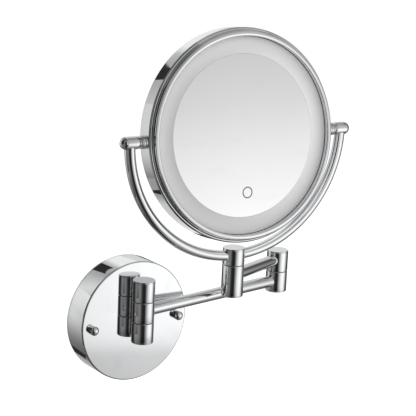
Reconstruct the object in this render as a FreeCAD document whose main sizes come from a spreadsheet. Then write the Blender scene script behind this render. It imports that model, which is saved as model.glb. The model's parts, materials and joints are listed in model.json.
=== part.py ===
"""Wall-mounted extendable shaving mirror with a lit, double-sided head.

A round base on the wall carries a two-link arm with three vertical hinge columns. The last
column carries a U-shaped yoke, and the mirror head turns between the yoke's two pivots.

Frame: origin at the centre of the base's back face, on the wall; +Z up; -Y into the room.
Every length is in millimetres and every angle in degrees.
"""
import FreeCAD, Part

import math
import os

import Sketcher

Vector = FreeCAD.Vector

# name, value, meaning
DIMENSIONS = [
    ("base_radius", 60.0, "outside of the base cover"),
    ("base_depth", 28.5, "wall to the cover's front face"),
    ("base_wall", 1.2, "sheet of the base cover"),
    ("base_edge", 1.6, "round on the cover's front edge"),
    ("bracket_radius", 54.0, "wall bracket"),
    ("bracket_wall", 1.5, "sheet of the wall bracket"),
    ("screw_spacing_wide", 72.0, "wall-screw holes, across"),
    ("screw_spacing_tall", 36.0, "wall-screw holes, up and down"),
    ("screw_hole_radius", 2.75, "wall-screw holes"),
    ("stud_spread", 48.7, "cover studs, out from the centre"),
    ("stud_drop", 1.0, "cover studs, below the centre"),
    ("stud_radius", 2.5, "cover studs"),
    ("cap_nut_radius", 4.4, "domed nuts on the cover studs"),
    ("column_standoff", 13.2, "base face to the axis of the wall hinge"),
    ("column_radius", 11.0, "all three hinge columns"),
    ("column_bevel", 0.35, "bevel where two knuckles meet"),
    ("cap_depth", 1.5, "end cap of a column"),
    ("cap_round", 0.7, "round on the end cap's edge"),
    ("cap_spigot", 2.0, "spigot of an end cap"),
    ("washer_depth", 0.5, "washer between two knuckles"),
    ("washer_radius", 10.3, "washer between two knuckles"),
    ("running_gap", 0.04, "clearance of every turning fit"),
    ("pin_radius", 4.0, "hollow hinge pins"),
    ("pin_bore", 2.5, "hollow of the hinge pins, for the lead"),
    ("bush_radius", 5.5, "hinge bushes"),
    ("nut_radius", 6.93, "corner radius of the pin nuts"),
    ("nut_depth", 3.5, "pin nuts"),
    ("recess_radius", 7.1, "recess for nut and cap"),
    ("recess_depth", 7.0, "recess for nut and cap"),
    ("arm_height", 14.3, "inner arm above the base centre"),
    ("knuckle_pitch", 20.9, "each third of the wall hinge column"),
    ("elbow_half", 22.1, "each half of the elbow column"),
    ("elbow_rise", 11.0, "inner arm to the elbow's joint line"),
    ("outer_arm_rise", 12.1, "elbow's joint line to the outer arm"),
    ("swivel_rise", 24.2, "elbow's joint line to the swivel's joint line"),
    ("swivel_lower", 32.8, "swivel column below its joint line"),
    ("swivel_upper", 17.2, "swivel column above its joint line"),
    ("swivel_recess", 14.0, "recess under the swivel column"),
    ("tube_radius", 6.0, "arm tubes"),
    ("tube_wall", 1.0, "arm and yoke tubes"),
    ("tube_seat", 8.0, "column axis to the end of a tube"),
    ("inner_arm", 182.0, "wall hinge axis to elbow axis"),
    ("outer_arm", 83.6, "elbow axis to swivel axis"),
    ("yoke_radius", 120.8, "centre line of the yoke"),
    ("yoke_tube", 5.2, "yoke tube"),
    ("yoke_foot", 3.9, "angle between the yoke's lowest point and a tube's end"),
    ("yoke_tip", 1.2, "angle between the pivot axis and a tube's end"),
    ("pivot_rise", 129.9, "swivel's joint line to the pivot axis"),
    ("knob_radius", 6.2, "pivot knobs"),
    ("knob_start", 109.5, "pivot centre to the inner end of a knob"),
    ("knob_ball", 124.8, "pivot centre to the centre of a knob's ball end"),
    ("pivot_pin", 2.4, "pivot screws"),
    ("drum_radius", 104.5, "outside of the mirror head"),
    ("drum_wall", 1.2, "sheet of the head's side"),
    ("drum_front", 6.3, "pivot axis to the drum's front edge"),
    ("drum_back", 9.2, "pivot axis to the drum's back edge"),
    ("lip_radius", 96.2, "clear opening of both bezels"),
    ("bead_radius", 2.25, "rolled bead of both bezels"),
    ("bead_height", 11.05, "pivot axis to the bead's centre"),
    ("mirror_radius", 79.3, "clear part of the front mirror"),
    ("glass_radius", 97.9, "outside of both mirrors"),
    ("glass_front", 8.05, "pivot axis to the front of the glass"),
    ("glass_depth", 3.0, "front glass"),
    ("magnifier_curve", 900.0, "radius of the magnifying mirror"),
    ("magnifier_glass", 2.5, "glass of the magnifying mirror"),
    ("magnifier_middle", 4.3, "pivot axis to the middle of the magnifying mirror"),
    ("touch_drop", 55.5, "mirror centre to the touch switch"),
    ("touch_shift", 3.0, "touch switch, to the side"),
    ("led_circle", 88.0, "circle that the lamps sit on"),
    ("inner_arm_angle", 6.5, "inner arm from the wall, at rest"),
    ("elbow_angle", 192.45, "outer arm from the inner arm, at rest"),
    ("swivel_angle", 156.18, "yoke from the outer arm, at rest"),
    ("tilt_angle", 83.25, "mirror's normal from straight up, at rest"),
]
LED_COUNT = 48

document = FreeCAD.newDocument("shaving_mirror")
sheet = document.addObject("Spreadsheet::Sheet", "Sizes")
for row, (alias, value, meaning) in enumerate(DIMENSIONS, start=1):
    sheet.set(f"A{row}", meaning)
    sheet.set(f"B{row}", str(value))
    sheet.setAlias(f"B{row}", alias)
document.recompute()


class Dim:
    """A size with its present value and the expression that ties it to the sheet."""

    def __init__(self, value, text):
        self.value = float(value)
        self.text = text

    @staticmethod
    def of(size):
        """Returns a Dim for a Dim or a plain number."""
        return size if isinstance(size, Dim) else Dim(size, f"({float(size)})")

    def __add__(self, other):
        other = Dim.of(other)
        return Dim(self.value + other.value, f"({self.text} + {other.text})")

    def __sub__(self, other):
        other = Dim.of(other)
        return Dim(self.value - other.value, f"({self.text} - {other.text})")

    def __mul__(self, other):
        other = Dim.of(other)
        return Dim(self.value * other.value, f"({self.text} * {other.text})")

    def __neg__(self):
        return Dim(0, "0") - self

    __radd__ = __add__
    __rmul__ = __mul__


class Sizes:
    """The sheet's dimensions as attributes."""


S = Sizes()
for alias, value, meaning in DIMENSIONS:
    setattr(S, alias, Dim(value, f"Sizes.{alias}"))


# ---------------------------------------------------------------- building helpers

NODES = []


def bind(thing, **sizes):
    """Ties properties of an object to the sheet."""
    for name, size in sizes.items():
        thing.setExpression(name, Dim.of(size).text)


def placement_text(at=(0, 0, 0), turns=()):
    """Returns the expression of a placement: a point, then turns about its own axes."""
    x, y, z = (Dim.of(size).text for size in at)
    text = f"placement(vector({x}; {y}; {z}); rotation(vector(0; 0; 1); 0))"
    axes = {"X": "1; 0; 0", "Y": "0; 1; 0", "Z": "0; 0; 1"}
    for axis, angle in turns:
        turn = f"rotation(vector({axes[axis]}); {Dim.of(angle).text})"
        text += f" * placement(vector(0; 0; 0); {turn})"
    return text


def frame(name, parent=None, at=(0, 0, 0), turns=()):
    """Adds a coordinate system fixed to a parent one, and returns it."""
    system = document.addObject("Part::LocalCoordinateSystem", name)
    start = f"{parent.Name}.Placement * " if parent else ""
    system.setExpression("Placement", start + placement_text(at, turns))
    return system


def node(label, solid, home, at=(0, 0, 0), turns=()):
    """Names a finished piece and puts it in its coordinate system."""
    solid.Label = label
    solid.setExpression("Placement", f"{home.Name}.Placement * " + placement_text(at, turns))
    NODES.append(solid)
    return solid


def cylinder(radius, height, at=(0, 0, 0), turns=()):
    """Returns a cylinder that stands on its point along its own Z axis."""
    solid = document.addObject("Part::Cylinder", "cylinder")
    bind(solid, Radius=radius, Height=height)
    solid.setExpression("Placement", placement_text(at, turns))
    return solid


def box(width, depth, height, at=(0, 0, 0), turns=()):
    """Returns a box that is centred on its point in X and Y and stands on it."""
    solid = document.addObject("Part::Box", "box")
    bind(solid, Length=width, Width=depth, Height=height)
    corner = (Dim.of(width) * -0.5, Dim.of(depth) * -0.5, 0)
    solid.setExpression("Placement", placement_text(at, turns) + " * " + placement_text(corner))
    return solid


def prism(radius, height, at=(0, 0, 0)):
    """Returns a hexagonal prism that stands on its point."""
    solid = document.addObject("Part::Prism", "prism")
    solid.Polygon = 6
    bind(solid, Circumradius=radius, Height=height)
    solid.setExpression("Placement", placement_text(at))
    return solid


def cut(base, *tools):
    """Returns the base with every tool taken away."""
    for tool in tools:
        result = document.addObject("Part::Cut", "cut")
        result.Base = base
        result.Tool = tool
        base = result
    return base


def join(*solids):
    """Returns the union of solids that touch."""
    result = document.addObject("Part::MultiFuse", "join")
    result.Shapes = list(solids)
    return result


def group(*solids):
    """Returns separate solids as one group."""
    result = document.addObject("Part::Compound", "group")
    result.Links = list(solids)
    return result


def plane_of(body, role):
    """Returns the origin plane of a body that has the given role."""
    return next(part for part in body.Origin.OriginFeatures if part.Role == role)


def draw_outline(sketch, corners):
    """Draws a closed outline and ties every corner to the sheet.

    Args:
        sketch: the sketch to draw in.
        corners: (across, up) pairs in order. A third value is the radius of the arc that
            leads to the next corner, positive where it turns counter-clockwise.
    """
    count = len(corners)
    for index, corner in enumerate(corners):
        x0, y0 = (Dim.of(size).value for size in corner[:2])
        x1, y1 = (Dim.of(size).value for size in corners[(index + 1) % count][:2])
        if len(corner) == 2:
            sketch.addGeometry(Part.LineSegment(Vector(x0, y0, 0), Vector(x1, y1, 0)), False)
            continue
        radius = Dim.of(corner[2]).value
        chord = math.hypot(x1 - x0, y1 - y0)
        offset = math.copysign(math.sqrt(max(radius ** 2 - chord ** 2 / 4, 0)), radius) / chord
        cx = (x0 + x1) / 2 - offset * (y1 - y0)
        cy = (y0 + y1) / 2 + offset * (x1 - x0)
        ends = [math.atan2(y0 - cy, x0 - cx), math.atan2(y1 - cy, x1 - cx)]
        if radius < 0:
            ends.reverse()
        circle = Part.Circle(Vector(cx, cy, 0), Vector(0, 0, 1), abs(radius))
        sketch.addGeometry(Part.ArcOfCircle(circle, *ends), False)
    starts = [2 if len(c) == 3 and Dim.of(c[2]).value < 0 else 1 for c in corners]
    for index, corner in enumerate(corners):
        following = (index + 1) % count
        joint = ("Coincident", index, 3 - starts[index], following, starts[following])
        sketch.addConstraint(Sketcher.Constraint(*joint))
        for kind, size in zip(("DistanceX", "DistanceY"), corner):
            size = Dim.of(size)
            limit = Sketcher.Constraint(kind, -1, 1, index, starts[index], size.value)
            number = sketch.addConstraint(limit)
            sketch.setExpression(f"Constraints[{number}]", size.text)
        if len(corner) == 3:
            size = Dim.of(corner[2])
            size = -size if size.value < 0 else size
            number = sketch.addConstraint(Sketcher.Constraint("Radius", index, size.value))
            sketch.setExpression(f"Constraints[{number}]", size.text)


def turned(name, corners):
    """Returns a body turned about its own Z axis from an outline of (radius, height)."""
    body = document.addObject("PartDesign::Body", name)
    sketch = body.newObject("Sketcher::SketchObject", f"{name}_outline")
    sketch.AttachmentSupport = [(plane_of(body, "XZ_Plane"), "")]
    sketch.MapMode = "FlatFace"
    draw_outline(sketch, corners)
    turn = body.newObject("PartDesign::Revolution", f"{name}_turn")
    turn.Profile = sketch
    turn.ReferenceAxis = (sketch, ["V_Axis"])
    turn.Angle = 360
    return body


def ring(name, inner, outer, bottom, top):
    """Returns a plain ring about the Z axis."""
    return turned(name, [(inner, bottom), (outer, bottom), (outer, top), (inner, top)])


def drilled_disc(name, radius, depth, holes):
    """Returns a padded disc with round holes.

    Args:
        name: the body's name.
        radius: the disc's radius.
        depth: the disc's thickness.
        holes: (x, y, radius) of each hole.
    """
    body = document.addObject("PartDesign::Body", name)
    sketch = body.newObject("Sketcher::SketchObject", f"{name}_outline")
    sketch.AttachmentSupport = [(plane_of(body, "XY_Plane"), "")]
    sketch.MapMode = "FlatFace"
    for index, (x, y, size) in enumerate([(0, 0, radius)] + holes):
        x, y, size = Dim.of(x), Dim.of(y), Dim.of(size)
        circle = Part.Circle(Vector(x.value, y.value, 0), Vector(0, 0, 1), size.value)
        sketch.addGeometry(circle, False)
        for kind, part in (("DistanceX", x), ("DistanceY", y)):
            limit = Sketcher.Constraint(kind, -1, 1, index, 3, part.value)
            number = sketch.addConstraint(limit)
            sketch.setExpression(f"Constraints[{number}]", part.text)
        number = sketch.addConstraint(Sketcher.Constraint("Radius", index, size.value))
        sketch.setExpression(f"Constraints[{number}]", size.text)
    pad = body.newObject("PartDesign::Pad", f"{name}_pad")
    pad.Profile = sketch
    bind(pad, Length=depth)
    return body


# ---------------------------------------------------------------- coordinate systems

ALONG_X = [("Y", 90)]
UPSIDE_DOWN = [("X", 180)]

plate_home = frame("plate_home", turns=[("X", 90)])
column_out = S.base_depth + S.column_standoff
hinge_home = frame("hinge_home", at=(0, -column_out, S.arm_height))
inner_home = frame("inner_home", hinge_home, turns=[("Z", S.inner_arm_angle)])
elbow_seat = frame("elbow_seat", inner_home, at=(S.inner_arm, 0, S.elbow_rise))
outer_home = frame("outer_home", elbow_seat, turns=[("Z", S.elbow_angle)])
swivel_seat = frame("swivel_seat", outer_home, at=(S.outer_arm, 0, S.swivel_rise))
yoke_home = frame("yoke_home", swivel_seat, turns=[("Z", S.swivel_angle)])
pivot_home = frame("pivot_home", yoke_home, at=(0, 0, S.pivot_rise))
head_home = frame("head_home", pivot_home, turns=[("X", S.tilt_angle)])


# ---------------------------------------------------------------- hinge columns

PRESS_GAP = 0.02
half_washer = S.washer_depth * 0.5
pin_hole = S.pin_radius + PRESS_GAP
pin_running = S.pin_radius + S.running_gap
socket_radius = S.tube_radius + PRESS_GAP


def knuckle(name, bottom, top, bore, recess=None):
    """Returns one length of a hinge column, with bevelled ends.

    Args:
        name: the body's name.
        bottom: height of its lower end.
        top: height of its upper end.
        bore: radius of its bore.
        recess: (end, depth) of the recess for nut and cap, where end is "top" or "bottom".
    """
    bevel, outer = S.column_bevel, S.column_radius
    corners = [(bore, bottom)]
    if recess and recess[0] == "bottom":
        floor = bottom + recess[1]
        corners = [(bore, floor), (S.recess_radius, floor), (S.recess_radius, bottom)]
    corners += [(outer - bevel, bottom), (outer, bottom + bevel)]
    corners += [(outer, top - bevel), (outer - bevel, top)]
    if recess and recess[0] == "top":
        floor = top - recess[1]
        corners += [(S.recess_radius, top), (S.recess_radius, floor), (bore, floor)]
    else:
        corners += [(bore, top)]
    return turned(name, corners)


def end_cap(name):
    """Returns the cap that closes the end of a column; its seat is at height 0."""
    spigot = S.recess_radius - PRESS_GAP
    edge = S.cap_depth - S.cap_round
    return turned(name, [
        (0, -S.cap_spigot), (spigot, -S.cap_spigot), (spigot, 0), (S.column_radius, 0),
        (S.column_radius, edge, S.cap_round),
        (S.column_radius - S.cap_round, S.cap_depth), (0, S.cap_depth),
    ])


def placed(solid, at=(0, 0, 0), turns=()):
    """Moves a piece inside its group, and returns it."""
    solid.setExpression("Placement", placement_text(at, turns))
    return solid


def pin_nut(bottom):
    """Returns a hexagonal nut for a hinge pin, with its lower face at a height."""
    blank = prism(S.nut_radius, S.nut_depth, at=(0, 0, bottom))
    return cut(blank, cylinder(pin_hole, S.nut_depth, at=(0, 0, bottom)))


def socket(height, side):
    """Returns the drill for a tube's socket, on the +X side (1) or the -X side (-1)."""
    spot = (S.tube_seat * side, 0, height)
    return cylinder(socket_radius, S.column_radius, at=spot, turns=[("Y", 90 * side)])


def arm_tube(name, length):
    """Returns an arm's tube along X, between the columns at its two ends."""
    span = length - 2 * S.tube_seat
    return ring(name, S.tube_radius - S.tube_wall, S.tube_radius, 0, span)


# ---------------------------------------------------------------- base

stud_spots = [(S.stud_spread * side, -S.stud_drop, 0) for side in (-1, 1)]
post_offset = S.knuckle_pitch * 0.5 + 7.6
post_spots = [(0, S.arm_height + post_offset * side, 0) for side in (-1, 1)]
post_radius = Dim.of(4.5)
lead_way_radius = 1.8
grommet_hole = Dim.of(9.0)
small_screw_radius = Dim.of(1.5)
small_screw_hole = small_screw_radius + 0.1

driver_height = -35.5
ear_height = -33.5
ear_spots = [(30.5 * side, ear_height) for side in (-1, 1)]
clamp_height = 18.0
clamp_spots = [(9.5 * side, clamp_height) for side in (-1, 1)]

bracket_holes = [(0, 0, grommet_hole)]
bracket_holes += [(x, y, S.stud_radius) for x, y, z in stud_spots]
bracket_holes += [(x, y, small_screw_radius + PRESS_GAP) for x, y in ear_spots + clamp_spots]
for across in (-0.5, 0.5):
    for up in (-0.5, 0.5):
        spot = (S.screw_spacing_wide * across, S.screw_spacing_tall * up)
        bracket_holes.append((*spot, S.screw_hole_radius))
bracket = drilled_disc("bracket", S.bracket_radius, S.bracket_wall, bracket_holes)
node("wall_bracket", bracket, plate_home)

stud_length = S.base_depth + 4.5
studs = [cylinder(S.stud_radius, stud_length, at=spot) for spot in stud_spots]
node("bracket_studs", group(*studs), plate_home)

inside = S.base_radius - S.base_wall
face_back = S.base_depth - S.base_wall
cover = turned("cover", [
    (inside, 0), (S.base_radius, 0),
    (S.base_radius, S.base_depth - S.base_edge, S.base_edge),
    (S.base_radius - S.base_edge, S.base_depth), (0, S.base_depth),
    (0, face_back), (inside, face_back),
])


def face_drills(spots, radius, back):
    """Returns one drill for each spot, through what lies between a depth and the front face."""
    return [cylinder(radius, S.base_depth - back + 1, at=(x, y, back)) for x, y, z in spots]


cover_holes = face_drills(stud_spots, S.stud_radius + 0.1, face_back)
cover_holes += face_drills(post_spots, post_radius, face_back)
node("base_cover", cut(cover, *cover_holes), plate_home)


def sag(curve, radius):
    """Returns how far a spherical face falls away at a radius from its middle."""
    value = curve.value - math.sqrt(curve.value ** 2 - radius.value ** 2)
    text = f"({curve.text} - sqrt({curve.text} ^ 2 - {radius.text} ^ 2))"
    return Dim(value, text)


nut_foot = S.base_depth + 0.02
nut_neck = nut_foot + 4.4
dome_foot = nut_neck + 0.5
neck_radius = S.cap_nut_radius - 0.5
dome_curve = Dim.of(5.0)
dome_top = dome_foot + sag(dome_curve, S.cap_nut_radius)


def cap_nut(index, spot):
    """Returns one domed nut with a turned groove below its dome."""
    body = turned(f"cap_nut_{index}", [
        (S.stud_radius, nut_foot), (S.cap_nut_radius, nut_foot), (S.cap_nut_radius, nut_neck),
        (neck_radius, nut_neck), (neck_radius, dome_foot),
        (S.cap_nut_radius, dome_foot, dome_curve), (0, dome_top), (0, stud_length),
        (S.stud_radius, stud_length),
    ])
    return placed(body, spot)


node("cap_nuts", group(*[cap_nut(i, spot) for i, spot in enumerate(stud_spots)]), plate_home)
gasket_width, gasket_depth = 2.2, 3.0
node("wall_gasket", ring("gasket", inside - gasket_width, inside - 0.05, 0, gasket_depth),
     plate_home)

plate_wide, plate_tall, plate_depth = 40, 58, 2.5
plate_back = face_back - plate_depth
stiffener = box(plate_wide, plate_tall, plate_depth, at=(0, S.arm_height, plate_back))
stiffener = cut(stiffener, *face_drills(post_spots, post_radius, plate_back))
node("hinge_mount_plate", stiffener, plate_home)

post_nut_corner, post_nut_depth = 7.5, 4
post_nut_back = plate_back - post_nut_depth
post_start = post_nut_back - 1
post_end = column_out - S.pin_radius - 1.5
posts = []
post_nuts = []
for x, y, z in post_spots:
    post = cylinder(post_radius, post_end - post_start, at=(x, y, post_start))
    lead_way = cylinder(lead_way_radius, post_end - post_start, at=(x, y, post_start))
    posts.append(cut(post, lead_way))
    nut = cut(prism(post_nut_corner, post_nut_depth), cylinder(post_radius, post_nut_depth))
    post_nuts.append(placed(nut, (x, y, post_nut_back)))
node("hinge_posts", group(*posts), plate_home)
node("post_nuts", group(*post_nuts), plate_home)

driver_wide, driver_tall, driver_depth = 54, 23, 18
ear_wide, ear_tall, ear_depth = 68, 8, 2
driver = box(driver_wide, driver_tall, driver_depth, at=(0, driver_height, S.bracket_wall))
ears = box(ear_wide, ear_tall, ear_depth, at=(0, ear_height, S.bracket_wall))
ear_holes = [cylinder(small_screw_hole, 6, at=(x, y, 0)) for x, y in ear_spots]
node("led_driver", cut(join(driver, ears), *ear_holes), plate_home)

terminal_height = 33.5
terminal_wide, terminal_tall, terminal_depth = 30, 15, 13
way_pitch, way_radius, way_floor = 9, 1.9, 6
entry_radius, entry_rise = 1.6, 4
terminal = box(terminal_wide, terminal_tall, terminal_depth,
               at=(0, terminal_height, S.bracket_wall))
ways = []
for step in (-1, 0, 1):
    top = (way_pitch * step, terminal_height, S.bracket_wall + way_floor)
    side = (way_pitch * step, terminal_height + terminal_tall, S.bracket_wall + entry_rise)
    ways.append(cylinder(way_radius, terminal_depth, at=top))
    ways.append(cylinder(entry_radius, 2 * terminal_tall, at=side, turns=[("X", 90)]))
node("terminal_block", cut(terminal, *ways), plate_home)

grommet_bore, grommet_neck, grommet_lip = 4.0, 6.0, 1.8
lip_start = S.bracket_wall + 0.05
lip_end = S.bracket_wall + 1.6
grommet_top = S.bracket_wall + 4.0
grommet = turned("grommet", [
    (grommet_bore, 0.1), (grommet_hole - 0.05, 0.1), (grommet_hole - 0.05, lip_start),
    (grommet_hole + grommet_lip, lip_start), (grommet_hole + grommet_lip, lip_end),
    (grommet_neck, grommet_top), (grommet_bore, grommet_top),
])
node("cable_grommet", grommet, plate_home)

clamp_wide, clamp_tall, clamp_depth = 26, 8, 6
clamp_way, clamp_rise = 10, 3.2
clamp_middle = (0, clamp_height, S.bracket_wall)
clamp = box(clamp_wide, clamp_tall, clamp_depth, at=clamp_middle)
clamp = cut(clamp, box(clamp_way, clamp_tall + 2, clamp_rise, at=clamp_middle))
clamp = cut(clamp, *[cylinder(small_screw_hole, 9, at=(x, y, 0)) for x, y in clamp_spots])
node("cable_clamp", clamp, plate_home)


def small_screw(index, x, y, seat):
    """Returns one pan-head screw that stands in the bracket, with its head on a seat."""
    head_radius, head_round, head_depth = 2.9, 0.9, 2.1
    foot = 0.2
    body = turned(f"small_screw_{index}", [
        (0, foot), (small_screw_radius, foot), (small_screw_radius, seat), (head_radius, seat),
        (head_radius, seat + (head_depth - head_round), head_round),
        (head_radius - head_round, seat + head_depth), (0, seat + head_depth),
    ])
    return placed(body, (x, y, 0))


screw_seats = [(x, y, S.bracket_wall + ear_depth + PRESS_GAP) for x, y in ear_spots]
screw_seats += [(x, y, S.bracket_wall + clamp_depth + PRESS_GAP) for x, y in clamp_spots]
small_screws = [small_screw(i, *seat) for i, seat in enumerate(screw_seats)]
node("base_screws", group(*small_screws), plate_home)


# ---------------------------------------------------------------- wall hinge

half_pitch = S.knuckle_pitch * 0.5
outer_start = half_pitch + half_washer
outer_end = S.knuckle_pitch * 1.5 - S.cap_depth
nut_seat = outer_end - S.recess_depth
bush_bore = S.bush_radius + PRESS_GAP


def fixed_knuckle(name, side):
    """Returns the knuckle above (1) or below (-1) the inner arm, drilled for its post."""
    if side > 0:
        body = knuckle(name, outer_start, outer_end, pin_hole, ("top", S.recess_depth))
    else:
        body = knuckle(name, -outer_end, -outer_start, pin_hole, ("bottom", S.recess_depth))
    post_reach = column_out - post_end
    drill = cylinder(post_radius, S.column_radius, at=(0, post_reach, post_offset * side),
                     turns=[("X", -90)])
    return cut(body, drill)


node("hinge_end_knuckles", group(fixed_knuckle("upper_knuckle", 1),
                                 fixed_knuckle("lower_knuckle", -1)), hinge_home)

pin_stand = 0.2
pin_reach = nut_seat + S.nut_depth + pin_stand
node("wall_hinge_pin", ring("wall_pin", S.pin_bore, S.pin_radius, -pin_reach, pin_reach),
     hinge_home)
node("wall_hinge_nuts", group(pin_nut(nut_seat + PRESS_GAP),
                              pin_nut(-nut_seat - S.nut_depth - PRESS_GAP)), hinge_home)


def joint_washer(name, middle):
    """Returns the washer between two knuckles, round a height."""
    return ring(name, S.pin_radius + 0.1, S.washer_radius, middle - half_washer,
                middle + half_washer)


node("wall_hinge_washers", group(joint_washer("upper_washer", half_pitch),
                                 joint_washer("lower_washer", -half_pitch)), hinge_home)
node("wall_hinge_caps", group(
    placed(end_cap("wall_top_cap"), (0, 0, outer_end)),
    placed(end_cap("wall_bottom_cap"), (0, 0, -outer_end), UPSIDE_DOWN)), hinge_home)


# ---------------------------------------------------------------- inner arm

middle_end = half_pitch - half_washer - S.running_gap
middle = knuckle("middle_knuckle", -middle_end, middle_end, bush_bore)
node("hinge_middle_knuckle", cut(middle, socket(0, 1)), inner_home)
node("wall_hinge_bush", ring("wall_bush", pin_running, S.bush_radius, -middle_end, middle_end),
     inner_home)
node("inner_arm_tube", arm_tube("inner_tube", S.inner_arm), inner_home,
     at=(S.tube_seat, 0, 0), turns=ALONG_X)

elbow_end = S.elbow_half - S.cap_depth
lower_elbow = knuckle("lower_elbow", -elbow_end, -half_washer, pin_hole,
                      ("bottom", S.recess_depth))
node("elbow_lower_knuckle", cut(lower_elbow, socket(-S.elbow_rise, -1)), elbow_seat)
node("elbow_lower_cap", end_cap("elbow_bottom_cap"), elbow_seat,
     at=(0, 0, -elbow_end), turns=UPSIDE_DOWN)
node("elbow_washer", joint_washer("elbow_joint_washer", Dim.of(0)), elbow_seat)

elbow_floor = elbow_end - S.recess_depth
spring_sheet = 0.5
spring_depth = Dim.of(1.0)
spring_gap = 0.05
stack = spring_depth + 2 * spring_gap


def spring_washer(name, seat):
    """Returns the conical washer that loads a hinge, in the recess above its bush."""
    inner, outer = S.pin_radius + 0.05, S.recess_radius - 0.3
    rise = spring_depth - spring_sheet
    return turned(name, [
        (inner, seat + rise), (outer, seat), (outer, seat + spring_sheet),
        (inner, seat + spring_depth),
    ])


node("elbow_spring_washer", spring_washer("elbow_spring", elbow_floor + spring_gap), elbow_seat)
elbow_pin_top = elbow_floor + stack + S.nut_depth + pin_stand
elbow_pin_foot = elbow_floor + S.nut_depth + pin_stand
node("elbow_pin", ring("elbow_hinge_pin", S.pin_bore, S.pin_radius, -elbow_pin_foot,
                       elbow_pin_top), elbow_seat)
node("elbow_nuts", group(pin_nut(elbow_floor + stack),
                         pin_nut(-elbow_floor - S.nut_depth - PRESS_GAP)), elbow_seat)


# ---------------------------------------------------------------- outer arm

turning_start = half_washer + S.running_gap
upper_elbow = knuckle("upper_elbow", turning_start, elbow_end, bush_bore,
                      ("top", S.recess_depth))
node("elbow_upper_knuckle", cut(upper_elbow, socket(S.outer_arm_rise, 1)), outer_home)
node("elbow_bush", ring("elbow_hinge_bush", pin_running, S.bush_radius, turning_start,
                        elbow_floor), outer_home)
node("elbow_upper_cap", end_cap("elbow_top_cap"), outer_home, at=(0, 0, elbow_end))
node("outer_arm_tube", arm_tube("outer_tube", S.outer_arm), outer_home,
     at=(S.tube_seat, 0, S.outer_arm_rise), turns=ALONG_X)

swivel_foot = S.swivel_lower - S.cap_depth
lower_swivel = knuckle("lower_swivel", -swivel_foot, -half_washer, pin_hole,
                       ("bottom", S.swivel_recess))
arm_below_swivel = S.swivel_rise - S.outer_arm_rise
node("swivel_lower_knuckle", cut(lower_swivel, socket(-arm_below_swivel, -1)), swivel_seat)
node("swivel_lower_cap", end_cap("swivel_bottom_cap"), swivel_seat,
     at=(0, 0, -swivel_foot), turns=UPSIDE_DOWN)
node("swivel_washer", joint_washer("swivel_joint_washer", Dim.of(0)), swivel_seat)

swivel_end = S.swivel_upper - S.cap_depth
swivel_floor = swivel_end - S.recess_depth
node("swivel_spring_washer", spring_washer("swivel_spring", swivel_floor + spring_gap),
     swivel_seat)
lower_nut_seat = swivel_foot - S.swivel_recess
swivel_pin_top = swivel_floor + stack + S.nut_depth + pin_stand
swivel_pin_foot = lower_nut_seat + S.nut_depth + pin_stand
node("swivel_pin", ring("swivel_hinge_pin", S.pin_bore, S.pin_radius, -swivel_pin_foot,
                        swivel_pin_top), swivel_seat)
node("swivel_nuts", group(pin_nut(swivel_floor + stack),
                          pin_nut(-lower_nut_seat - S.nut_depth - PRESS_GAP)), swivel_seat)


# ---------------------------------------------------------------- yoke

yoke_socket = S.yoke_tube + PRESS_GAP
yoke_starts = {"left": S.yoke_tip - 180, "right": S.yoke_foot - 90}


def quarter_hoop(radius, start, at=(0, 0, 0)):
    """Returns a quarter of the yoke's hoop about the pivot centre, from an angle."""
    hoop = document.addObject("Part::Torus", "hoop")
    sweep = Dim.of(90) - S.yoke_foot - S.yoke_tip
    bind(hoop, Radius1=S.yoke_radius, Radius2=radius, Angle3=sweep)
    return placed(hoop, at, [("X", 90), ("Z", start)])


upper_swivel = knuckle("upper_swivel", turning_start, swivel_end, bush_bore,
                       ("top", S.recess_depth))
pivot_centre = (0, 0, S.pivot_rise)
foot_sockets = [quarter_hoop(yoke_socket, start, pivot_centre) for start in yoke_starts.values()]
node("swivel_upper_knuckle", cut(upper_swivel, *foot_sockets), yoke_home)
node("swivel_bush", ring("swivel_hinge_bush", pin_running, S.bush_radius, turning_start,
                         swivel_floor), yoke_home)
node("swivel_upper_cap", end_cap("swivel_top_cap"), yoke_home, at=(0, 0, swivel_end))

for label, start in yoke_starts.items():
    bent = quarter_hoop(S.yoke_tube, start)
    bore = quarter_hoop(S.yoke_tube - S.tube_wall, start)
    node(f"yoke_tube_{label}", cut(bent, bore), pivot_home)


def both_pivots(build):
    """Returns a group with one piece on each pivot, its own Z axis pointing outwards."""
    pieces = []
    for side, label in ((-1, "left"), (1, "right")):
        pieces.append(placed(build(label), turns=[("Y", 90 * side)]))
    return group(*pieces)


boss_inner = Dim.of(99.0)
head_seat_depth = 1.4
boss_floor = boss_inner + head_seat_depth
screw_head = Dim.of(4.0)
pin_depth = S.knob_ball - 2
hollow_depth = pin_depth + 0.3
knob_bore = S.pivot_pin + PRESS_GAP


def knob(label):
    """Returns a knob with a ball end, drilled for its screw and for the yoke's tube."""
    inner_round = Dim.of(1.6)
    body = turned(f"knob_{label}", [
        (knob_bore, S.knob_start),
        (S.knob_radius - inner_round, S.knob_start, inner_round),
        (S.knob_radius, S.knob_start + inner_round), (S.knob_radius, S.knob_ball, S.knob_radius),
        (0, S.knob_ball + S.knob_radius), (0, hollow_depth), (knob_bore, hollow_depth),
    ])
    tip_start = S.yoke_foot if label == "right" else S.yoke_tip + 90
    return cut(body, quarter_hoop(yoke_socket, tip_start))


def pivot_screw(label):
    """Returns a shouldered screw: its head in the drum's boss, its thread in the knob."""
    seat, neck = boss_inner + 0.05, boss_floor - 0.05
    return turned(f"pivot_screw_{label}", [
        (0, seat), (screw_head, seat), (screw_head, neck), (S.pivot_pin, neck),
        (S.pivot_pin, pin_depth), (0, pin_depth),
    ])


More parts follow.
